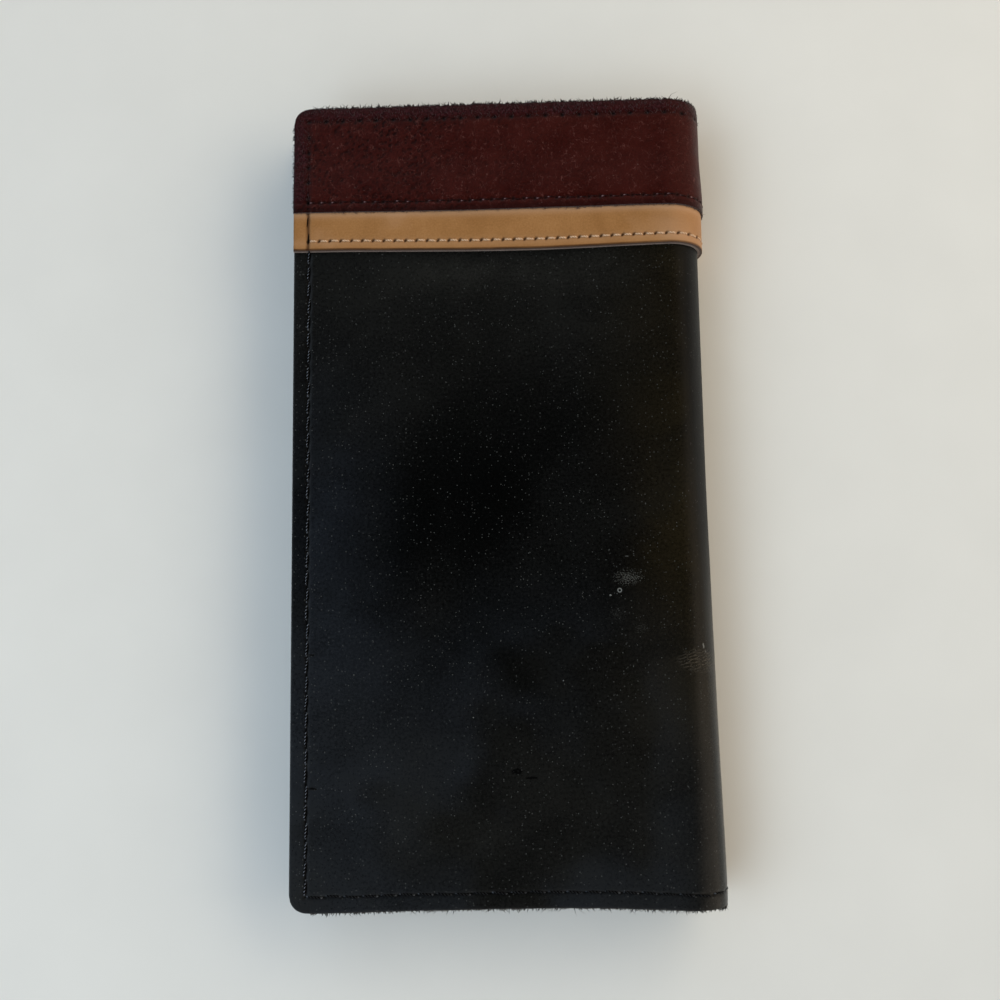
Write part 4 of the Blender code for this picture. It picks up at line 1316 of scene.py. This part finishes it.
def makeBand(side):
    # one half of the burgundy band, pebbled, with a sloped cut along its lower edge
    edgeHoles = perimeterHoles(side)
    edgeHoles = edgeHoles[edgeHoles[:, 1] > trim["bandEdge"]]
    trimHoles = rowHoles(side, trim["bandEdge"] + trim["bandSeam"])
    columns = spaced((0, 0.3 * mm), (halfLength(side), 0))
    rows = spaced((trim["bandEdge"], 0.26 * mm), (trim["bandEdge"] + 3 * mm, 0.32 * mm), (height, 0))

    def top(inset, y):
        crease, strength = pebbleShape(side, inset, y)
        wells = bell(nearest(inset, y, edgeHoles, 1 * mm), 0.32 * mm)
        wells = wells + bell(nearest(inset, y, trimHoles, 1 * mm), 0.28 * mm)
        return bandTop(inset, y) - band["pebbleRise"] * strength * crease - band["holeDip"] * wells

    def bottom(inset, y):
        share = smoothStep(y, trim["lapEnd"], trim["lapEnd"] + trim["lapSlope"])
        return band["underside"] - band["undersideDrop"] * share

    def creased(inset, y):
        # painted shade in the creases and pits
        crease, strength = pebbleShape(side, inset, y)
        return np.clip(0.95 * crease * strength, 0, 1)

    def worn(inset, y):
        # paler on the pebble tops, where rubbed and in painted highlight, and paler on the spine
        crease, strength = pebbleShape(side, inset, y)
        return np.clip(0.5 * (1 - crease) * strength + 0.5 * smoothStep(inset, 86 * mm, 97 * mm), 0, 1)

    def dark(inset, y):
        # painted shade in the holes and the groove; darker above the lower cut and along the other edges
        wells = bell(nearest(inset, y, edgeHoles, 1.4 * mm), 0.55 * mm)
        wells = wells + bell(nearest(inset, y, trimHoles, 1 * mm), 0.5 * mm)
        groove = 0.25 * bell(seamDepth(inset, y), 0.42 * mm)
        margin = 0.45 * (1 - smoothStep(y, trim["bandEdge"] + 0.6 * mm, trim["bandEdge"] + 2.0 * mm))
        edge = 0.35 * np.exp(-np.minimum(height - y, inset) / (0.9 * mm))
        return np.clip(0.9 * wells + groove + margin + edge, 0, 1)

    def rim(inset, y):
        # napped outside the seam, with a ragged inner line
        depth = seamDepth(inset, y) + 0.5 * mm * layeredNoise(inset, y, 1.6 * mm, 48)
        outside = 1 - smoothStep(depth, -1.3 * mm, 0.6 * mm)
        share = np.clip(outside * (0.75 + 0.5 * layeredNoise(inset, y, 3 * mm, 49)), 0, 1)
        return share * smoothStep(y, trim["bandEdge"] + 1.5 * mm, trim["bandEdge"] + 3.5 * mm)

    def shoulder(inset, y):
        return burnished(y - trim["bandEdge"], 0.5 * band["slope"])

    def outline(inset, drawn):
        lower = trim["bandEdge"] + drawn * (0.5 + 0.7 * smoothStep(inset, 40 * mm, 85 * mm))
        return lower, coverOutline(inset, drawn)[1]

    piece = sheetShell(
        f"{side}BurgundyBand", halfPlace(side), columns, rows, outline, top, bottom, slopedLayers(band["slope"]),
        [burgundyLeather, burgundyCut, burgundyCut],
        values={"crease": creased, "worn": worn, "dark": dark, "rim": rim, "shoulder": shoulder}, uvAlong=uvFor(side),
    )
    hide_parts(f"{side}_burgundy_band", "spine_burgundy_band")
    bend(piece, side)


for side in ("back", "front"):
    makeStrip(side)
    makeBand(side)
print("trim made")


# Threads outside
edgeStitch = {
    "width": 0.56 * mm,
    "thickness": 0.4 * mm,
    "lift": 0.04 * mm,
    "bury": 0.36 * mm,
    "slant": 0.2 * mm,
    "stray": 0.09 * mm,
    "reach": 0.02,
    "square": 4,
    "twist": 1.1 * mm,
    "oneEnd": False,
    "tipPlace": 0.86,
    "tipReach": 0.08,
    "glintScatter": 1,
    "lit": 0.06,
    "seed": 61,
}
trimStitch = {
    "width": 0.5 * mm,
    "thickness": 0.36 * mm,
    "lift": 0.08 * mm,
    "bury": 0.4 * mm,
    "slant": 0.05 * mm,
    "stray": 0.03 * mm,
    "reach": 0.1,
    "square": 4,
    "twist": 1.0 * mm,
    "oneEnd": False,
    "tipPlace": 1.0,
    "tipReach": 0.16,
    "glintScatter": 0,
    "lit": 0.8,
    "seed": 63,
}
bandStitch = {
    **trimStitch,
    "width": 0.36 * mm,
    "stray": 0.09 * mm,
    "oneEnd": True,
    "tipPlace": 0.66,
    "tipReach": 0.24,
    "glintScatter": 1.5,
    "lit": 0.2,
    "seed": 65,
}


def makeOuterThreads(side):
    # the black row round the half, and the cream and maroon rows along the trim
    def edgeSurface(inset, y):
        # the cover's groove, then up over the strip's and the band's edges
        onStrip = smoothStep(y, trim["stripEdge"] - 0.5 * mm, trim["stripEdge"] + 0.3 * mm)
        onBand = smoothStep(y, trim["bandEdge"] - 0.5 * mm, trim["bandEdge"] + 0.3 * mm)
        stripLevel = trim["level"] - strip["pressed"]
        level = -cover["seamDip"] * (1 - onStrip) + stripLevel * onStrip
        return level + (bandTop(inset, y) - 0.16 * mm - stripLevel) * onBand

    def thin(inset, y):
        # pulled tight across the strip, and tighter across the band
        onStrip = smoothStep(y, trim["stripEdge"] - 0.5 * mm, trim["stripEdge"] + 0.5 * mm)
        return 1 - 0.35 * onStrip - 0.15 * smoothStep(y, trim["bandEdge"], trim["bandEdge"] + 2 * mm)

    place = halfPlace(side)
    made = stitches(f"{side}EdgeThread", place, edgeSurface, perimeterHoles(side), edgeStitch, blackThread, thin)
    other = "bottom" if side == "back" else "top"
    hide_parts(f"{side}_edge_thread", f"spine_{other}_thread")
    bend(made, side)
    for name, y, level, look, finish in (
        ("Strip", trim["stripEdge"] + trim["stripSeam"], trim["level"] - 0.06 * mm, trimStitch, creamThread),
        ("Band", trim["bandEdge"] + trim["bandSeam"], trim["lapLevel"] - 0.16 * mm, bandStitch, maroonThread),
    ):
        made = stitches(f"{side}{name}Thread", place, flatAt(level), rowHoles(side, y), look, finish)
        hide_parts(f"{side}_{name.lower()}_thread", f"spine_{name.lower()}_thread")
        bend(made, side)


for side in ("back", "front"):
    makeOuterThreads(side)
print("outer threads made")


# The lining, one cloth behind the cover
lining = {"depth": 1.55 * mm, "thickness": 0.3 * mm, "shoulder": 0.1 * mm}


def makeLining(side):
    # one half of the cloth: a thin sheet at an even depth behind the cover's face
    end = halfLength(side)
    columns = spaced((0, 0.5 * mm), (6 * mm, 2 * mm), (end - 14 * mm, 0.6 * mm), (end - 2 * mm, 0.25 * mm), (end, 0))
    rows = spaced((0, 0.5 * mm), (6 * mm, 2 * mm), (height - 6 * mm, 0.5 * mm), (height, 0))
    piece = sheetShell(
        f"{side}Lining", halfPlace(side), columns, rows, coverOutline,
        flatAt(-lining["depth"]), flatAt(-lining["depth"] - lining["thickness"]),
        edgeLayers(lining["thickness"], lining["shoulder"], 2), [liningCloth, liningCloth, liningCloth],
        fullBack=True, uvAlong=uvFor(side),
    )
    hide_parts(f"{side}_lining", "spine_lining")
    bend(piece, side)


for side in ("back", "front"):
    makeLining(side)


# The inside of each half: panel, shingled card pockets, window pocket
pockets = {
    "back": 6,
    "front": 4,
    "length": 40 * mm,
    "step": 14 * mm,
    "lowest": 6 * mm,
    "inset": 0.3 * mm,
    "thickness": 0.45 * mm,
    "slope": 0.05,
    "crease": 1.6 * mm,
    "creaseDip": 0.1 * mm,
}
windowPocket = {
    "bottom": 100 * mm,
    "height": 60 * mm,
    "holeWidth": 78 * mm,
    "holeHeight": 46 * mm,
    "leather": 0.6 * mm,
    "film": 0.25 * mm,
    "filmInset": 2 * mm,
    "round": 2.5 * mm,
    "outerRound": 0.5 * mm,
    "shoulder": 0.14 * mm,
    "creaseDip": 0.09 * mm,
}


def pocketBottoms(side):
    # the lower edges of a half's pockets, stepped up evenly
    return [pockets["lowest"] + pockets["step"] * k for k in range(pockets[side])]


def pocketBack(y, bottom):
    # how deep a pocket's back lies: it leans on the one below, so it comes forward towards its mouth
    return inside["pocketDepth"] + pockets["slope"] * (y - bottom)


def innerSurface(side):
    # the depth of the uppermost sheet at each point: panel, pockets or the window's leather
    def surface(inset, y):
        depth = np.full(y.shape, inside["face"])
        for bottom in pocketBottoms(side):
            on = (y > bottom) & (y < bottom + pockets["length"])
            depth = np.where(on, np.maximum(depth, pocketBack(y, bottom) + pockets["thickness"]), depth)
        if side == "front":
            on = (y > windowPocket["bottom"]) & (y < windowPocket["bottom"] + windowPocket["height"])
            depth = np.where(on, inside["frameDepth"] + windowPocket["leather"], depth)
        return depth

    return surface


def innerHoles(side):
    # the perimeter's holes as far as the inner sheets reach
    holes = perimeterHoles(side)
    return holes[holes[:, 0] < panelEnd(side) - seams["pocketSeam"] - 1 * mm]


def innerColumns(side, start, step=1.1 * mm):
    # columns across an inner sheet, closest at its open edge and at the spine
    end = panelEnd(side)
    return spaced((start, 0.35 * mm), (5 * mm, step), (end - 7 * mm, 0.5 * mm), (end, 0))


def innerValues(side, line=None):
    # painted shade in the needle holes, and along a creased line if there is one
    def dark(inset, y):
        wells = 0.8 * bell(nearest(inset, y, innerHoles(side), 1.2 * mm), 0.36 * mm)
        if line is not None:
            wells = wells + 0.5 * bell(y - line, 0.22 * mm)
        return np.clip(wells, 0, 1)

    return {"dark": dark, "shoulder": flatAt(0.0)}


def makePanel(side):
    # the sheet that carries the pockets, as large as its half
    rows = spaced((0, 0.4 * mm), (6.5 * mm, 1.2 * mm), (height - 6 * mm, 0.4 * mm), (height, 0))
    thickness = inside["face"] - inside["depth"]

    def top(inset, y):
        return inside["face"] - inside["grooveDip"] * bell(seamDepth(inset, y), 0.5 * mm)

    piece = sheetShell(
        f"{side}InnerPanel", innerPlace(side), innerColumns(side, 0), rows, coverOutline, top,
        flatAt(inside["depth"]), edgeLayers(thickness, 0.2 * mm), [innerLeather, innerCut, innerLeather],
        freeEnd=True, values=innerValues(side),
    )
    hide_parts(f"{side}_inner_panel")
    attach(piece, f"{side}_cover")


def makePockets(side):
    # shingled sheets, each with a creased line below its mouth, numbered from the top
    for number, bottom in enumerate(reversed(pocketBottoms(side)), start=1):
        mouth = bottom + pockets["length"]
        line = mouth - pockets["crease"]
        rows = spaced((bottom, 1.2 * mm), (mouth - 3 * mm, 0.25 * mm), (mouth, 0))

        def back(inset, y, bottom=bottom):
            return pocketBack(y, bottom)

        def top(inset, y, bottom=bottom, mouth=mouth):
            crease = pockets["creaseDip"] * bell(y - mouth + pockets["crease"], 0.25 * mm)
            return pocketBack(y, bottom) + pockets["thickness"] - crease

        piece = sheetShell(
            f"{side}CardPocket{number}", innerPlace(side), innerColumns(side, pockets["inset"], 1.6 * mm), rows,
            straightOutline(bottom, mouth), top, back, edgeLayers(pockets["thickness"], 0.12 * mm, 2),
            [pocketLeather, innerCut, pocketLeather], freeEnd=True, values=innerValues(side, line),
        )
        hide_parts(f"{side}_card_pocket_{number}")
        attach(piece, f"{side}_cover")


def makeFilm():
    # a flat clear sheet behind the window's leather
    low = windowPocket["bottom"] + windowPocket["filmInset"]
    high = windowPocket["bottom"] + windowPocket["height"] - windowPocket["filmInset"]
    depth = inside["pocketDepth"]
    piece = sheetShell(
        "frontWindowFilm", innerPlace("front"), innerColumns("front", pockets["inset"], 2 * mm),
        spaced((low, 2 * mm), (high, 0)), straightOutline(low, high), flatAt(depth + windowPocket["film"]),
        flatAt(depth), edgeLayers(windowPocket["film"], 0.06 * mm, 2), [clearFilm, clearFilm, clearFilm], freeEnd=True,
    )
    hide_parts("front_window_film")
    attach(piece, "front_cover")


def roundedLoop(middle, halfSize, radius, corners):
    # a rounded rectangle: each point of a square's outline is held within the inner rectangle, then moved out
    # by the radius
    point = corners * np.array(halfSize)
    core = np.clip(point, -(np.array(halfSize) - radius), np.array(halfSize) - radius)
    away = point - core
    away = away / (np.linalg.norm(away, axis=1)[:, None] + 1e-12)
    return core + away * radius + np.array(middle)


def makeFrame():
    # the leather round the window: a closed section carried from the outer cut to the hole's edge, all the way round
    end = panelEnd("front")
    low, tall = windowPocket["bottom"], windowPocket["height"]
    holeWidth, holeHeight = windowPocket["holeWidth"], windowPocket["holeHeight"]
    stretches = ((-1, -0.9, 7), (-0.9, 0.9, 60), (0.9, 1, 7))
    edge = np.concatenate([np.linspace(start, stop, count)[:-1] for start, stop, count in stretches])
    ones = np.ones(len(edge))
    sides = ((edge, -ones), (ones, edge), (-edge, ones), (-ones, -edge))
    corners = np.concatenate([np.stack(pair, 1) for pair in sides])
    outerMiddle = ((pockets["inset"] + end) / 2, low + tall / 2)
    holeMiddle = ((seams["openEdge"] + end - seams["pocketSeam"]) / 2, low + tall / 2)
    thickness, depth, rounded = windowPocket["leather"], inside["frameDepth"], windowPocket["shoulder"]
    face = depth + thickness
    turns = [(1 - math.sin(turn), 1 - math.cos(turn)) for turn in np.linspace(0, math.pi / 2, 3)]

    def loopAt(drawn, grown, share, level):
        # between the outer cut, drawn in, and the hole's edge, grown, at a level
        outerSize = ((end - pockets["inset"]) / 2 - drawn, tall / 2 - drawn)
        outer = roundedLoop(outerMiddle, outerSize, windowPocket["outerRound"], corners)
        holeSize = (holeWidth / 2 + grown, holeHeight / 2 + grown)
        hole = roundedLoop(holeMiddle, holeSize, windowPocket["round"] + grown, corners)
        flatPoint = outer + (hole - outer) * share
        return np.concatenate([flatPoint, np.full((len(corners), 1), level)], axis=1)

    loops = [loopAt(rounded * away, 0, 0, face - rounded * down) for away, down in turns[::-1]]
    loops += [loopAt(rounded, rounded, share, face) for share in np.linspace(0, 1, 9)[1:-1]]
    # a creased line round the hole
    for grown, dip in ((1.8 * mm, 0), (1.5 * mm, windowPocket["creaseDip"]), (1.2 * mm, 0)):
        loops.append(loopAt(rounded, grown, 1, face - dip))
    loops += [loopAt(0, rounded * away, 1, face - rounded * down) for away, down in turns]
    loops += [loopAt(0, rounded * down, 1, depth + rounded * away) for away, down in turns]
    loops += [loopAt(rounded * away, 0, 0, depth + rounded * down) for away, down in turns]
    rings = np.array(loops)
    numbers = np.arange(rings.shape[0] * rings.shape[1]).reshape(rings.shape[:2])
    closed = np.concatenate([numbers, numbers[:1]])
    closed = np.concatenate([closed, closed[:, :1]], axis=1)
    inset, y, level = rings[..., 0], rings[..., 1], rings[..., 2]
    points = innerPlace("front")(inset, y, level)
    values = {label: function(inset, y) for label, function in innerValues("front").items()}
    uv = np.stack([inset, y], axis=-1)
    piece = makePiece("frontWindowFrame", points, [(gridFaces(closed), 0, False)], uv, [innerLeather], values)
    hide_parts("front_window_frame")
    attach(piece, "front_cover")


def makeInnerThreads(side):
    # the perimeter's row as it shows inside, and the column of stitches that holds the pockets
    place, surface = innerPlace(side), innerSurface(side)
    look = {**edgeStitch, "lift": 0.14 * mm, "bury": 0.25 * mm, "seed": 81}
    made = stitches(f"{side}InnerThread", place, surface, innerHoles(side), look, blackThread)
    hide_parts(f"{side}_inner_thread")
    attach(made, f"{side}_cover")
    column = panelEnd(side) - seams["pocketSeam"]
    low, high = pockets["lowest"] - 1 * mm, pocketBottoms(side)[-1] + pockets["length"]
    if side == "front":
        high = windowPocket["bottom"] + windowPocket["height"]
    holes = alongPath([(column, low), (column, high + 1 * mm)], seams["pitch"] * 0.8)
    made = stitches(f"{side}PocketThread", place, surface, holes, {**look, "seed": 83}, blackThread)
    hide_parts(f"{side}_pocket_thread")
    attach(made, f"{side}_cover")


for side in ("back", "front"):
    makePanel(side)
    makePockets(side)
    makeInnerThreads(side)
makeFilm()
makeFrame()
print("inside made")


# Loose fibres on the cut edges
cutEdges = {
    # finish, way out of the edge, its height, its first hair
    "Bottom": (blackCut, (0, -1), 0, 4.5 * mm),
    "Top": (darkFibre, (0, 1), height, 4.5 * mm),
    "Side": (darkFibre, (-1, 0), None, None),
    "Band": (bandFibre, (0, -1), trim["bandEdge"] + 0.06 * mm, 0.4 * mm),
}
fuzz = (
    # edge, kind, lowest and highest level, hairs in a metre, length, width, seed
    ("Bottom", "Fibres", -0.42 * mm, -0.12 * mm, 5200, 0.36 * mm, 0.27 * mm, 95),
    ("Bottom", "Hairs", -0.5 * mm, -0.12 * mm, 360, 0.64 * mm, 0.14 * mm, 96),
    ("Top", "Fibres", 0.7 * mm, 0.97 * mm, 8500, 0.35 * mm, 0.32 * mm, 97),
    ("Top", "Hairs", 0.6 * mm, 0.95 * mm, 450, 0.6 * mm, 0.17 * mm, 98),
    ("Side", "Fibres", 0.6 * mm, 0.98 * mm, 6500, 0.27 * mm, 0.26 * mm, 90),
    ("Band", "Fibres", 1.25 * mm, 1.52 * mm, 4200, 0.36 * mm, 0.2 * mm, 99),
)


def makeFuzz(side):
    # hairs strewn evenly along each cut edge of a half
    end = halfLength(side)
    for edge, kind, low, high, perMetre, length, width, seed in fuzz:
        finish, away, edgeHeight, first = cutEdges[edge]
        random = np.random.default_rng(seed + (100 if side == "back" else 0))
        if edge == "Side":
            count = round((height - trim["bandEdge"] - 4 * mm) * perMetre)
            inset, y = np.zeros(count), random.uniform(trim["bandEdge"] + 0.3 * mm, height - 4 * mm, count)
        else:
            count = round((end - 4 * mm) * perMetre)
            inset, y = random.uniform(first, end - 0.3 * mm, count), np.full(count, edgeHeight)
        look = {"length": length, "width": width, "seed": seed + 7}
        level = random.uniform(low, high, count)
        made = fibres(f"{side}{edge}{kind}", halfPlace(side), inset, y, level, away, look, finish)
        bend(made, side)


# the nap that stands on the band's face outside the seam
nap = {"perArea": 3.2e6, "length": 0.4 * mm, "width": 0.1 * mm, "seed": 120, "standing": 0.16 * mm}


def makeNap(side):
    # hairs strewn over the band, kept only outside the seam and thinning out over the thread
    end = halfLength(side)
    random = np.random.default_rng(nap["seed"] + (1 if side == "back" else 0))
    tall = height - trim["bandEdge"] - 3 * mm
    count = round(end * tall * nap["perArea"])
    inset = random.uniform(0.8 * mm, end - 0.3 * mm, count)
    y = random.uniform(height - tall, height - 0.4 * mm, count)
    highest = coverOutline(inset, 0.4 * mm)[1]
    within = seamDepth(inset, y)
    on = (within < 0.2 * mm + 0.5 * mm * random.uniform(0, 1, count) ** 3) & (y < highest)
    inset, y, within = inset[on], y[on], within[on]
    over = nap["standing"] * smoothStep(within, -0.35 * mm, -0.1 * mm)
    level = bandTop(inset, y) + random.uniform(0.0, 0.04 * mm, len(inset)) + over
    made = fibres(f"{side}Nap", halfPlace(side), inset, y, level, (0, 1), nap, napFibre)
    bend(made, side)


for side in ("back", "front"):
    makeFuzz(side)
    makeNap(side)
print("fibres made")


# The table, the light and the camera
table = {"size": 4.0, "colour": (0.74, 0.745, 0.74), "shade": 0.97}


def makeTable():
    # a flat square, with a faint mottle
    reach = table["size"] / 2
    points = np.array([(-reach, -reach, 0), (reach, -reach, 0), (reach, reach, 0), (-reach, reach, 0)])
    material, tree, shader = newMaterial("pale table", 0.7)
    mottle = noise(tree, addNode(tree, "ShaderNodeTexCoord").outputs["Object"], 40, 3, 0.5)
    darker = tuple(table["shade"] * part for part in table["colour"])
    wire(tree, shader, ramp(tree, mottle, (0.3, darker), (0.7, table["colour"])))
    made = makePiece("paleTable", points, [(np.array([[0, 1, 2, 3]]), 0, True)], points[:, :2], [material])


makeTable()

light = {
    # the room's brightness by height above the horizon (the direction's z), tinted from the left to the right
    "room": ((0.0, 0.5), (0.4, 0.9), (0.65, 0.8), (0.8, 0.26), (0.9, 0.12), (1.0, 0.08)),
    "strength": 0.93,
    "left": (0.84, 0.98, 1.12),
    "right": (1.14, 1.0, 0.84),
    "screened": 0.5,  # how much darker the right is beyond the trim than below it
    # direction, degrees of its whole and of its full part, tone
    "overhead": ((0.0, 0.09, 0.996), 28, 9, (0.006, 0.006, 0.006)),
    "glow": ((0.93, -0.34, 0.1), 17, 5, (1.8, 1.6, 1.35)),  # a bright opening low on the right
}
windows = {
    # place, size, watts, colour
    "warm window": ((0.66, 0.34, 0.46), 1.2, 5.6, (1.0, 0.86, 0.64)),
    "cool window": ((-0.5, -0.3, 0.62), 1.0, 3.7, (0.78, 0.92, 1.0)),
}


def makeSky():
    # a soft room: pale round the sides, cool on the left and warm on the right, dark overhead
    world = bpy.data.worlds.new("soft room")
    bpy.context.scene.world = world
    world.use_nodes = True
    tree = world.node_tree
    background = tree.nodes["Background"]
    direction = addNode(tree, "ShaderNodeTexCoord").outputs["Generated"]
    split = addNode(tree, "ShaderNodeSeparateXYZ", {0: direction})
    grey = ramp(tree, split.outputs[2], *((place, (tone,) * 3) for place, tone in light["room"]))
    tint = mixColour(tree, fromTo(tree, split.outputs[0], -0.7, 0.7), light["left"], light["right"])
    rightward, upward = fromTo(tree, split.outputs[0], 0.1, 0.5), fromTo(tree, split.outputs[1], -0.04, 0.14)
    kept = fromTo(tree, times(tree, rightward, upward), 0.0, 1.0, 1.0, 1 - light["screened"])
    grey = mixColour(tree, 1.0, grey, kept, "MULTIPLY")
    colour = mixColour(tree, 1.0, grey, tint, "MULTIPLY")
    for name in ("glow", "overhead"):
        # 1 within the full part's angle of a direction, 0 beyond the whole one's
        axis, reach, full, tone = light[name]
        cosine = vectorMath(tree, "DOT_PRODUCT", direction, tuple(Vector(axis).normalized()), "Value")
        share = fromTo(tree, cosine, math.cos(math.radians(reach)), math.cos(math.radians(full)))
        colour = mixColour(tree, share, colour, tone)
    tree.links.new(colour, background.inputs["Color"])
    background.inputs["Strength"].default_value = light["strength"]


def makeWindows():
    # two large soft lamps that face the wallet
    for name, (place, size, watts, colour) in windows.items():
        lamp = bpy.data.lights.new(name, "AREA")
        lamp.shape = "RECTANGLE"
        lamp.size, lamp.size_y = size, 0.45 * size
        lamp.energy = watts
        lamp.color = colour
        made = bpy.data.objects.new(name, lamp)
        bpy.context.collection.objects.link(made)
        made.location = place
        made.rotation_euler = (-Vector(place)).to_track_quat("-Z", "Y").to_euler()
        made.visible_camera = False
        made.visible_glossy = False  # the room's own brightness does the reflections


makeSky()
makeWindows()

view = {
    "place": (-3.66 * mm, -37.57 * mm, 258.36 * mm),
    "look": (0.00975, 0.14103, -0.98996),
    "up": (0.01762, 0.98983, 0.14119),
    "focal": 1.08398,  # in widths of the picture
}


def makeCamera():
    # placed by its three axes: right, up and away from what it looks at
    camera = bpy.data.cameras.new("camera")
    camera.sensor_width = 36
    camera.lens = 36 * view["focal"]
    camera.clip_start = 0.01
    made = bpy.data.objects.new("camera", camera)
    bpy.context.collection.objects.link(made)
    look = Vector(view["look"]).normalized()
    right = look.cross(Vector(view["up"])).normalized()
    up = right.cross(look)
    made.matrix_world = Matrix.Translation(view["place"]) @ Matrix((right, up, -look)).transposed().to_4x4()
    bpy.context.scene.camera = made


makeCamera()
bpy.context.scene.view_settings.view_transform = "Standard"
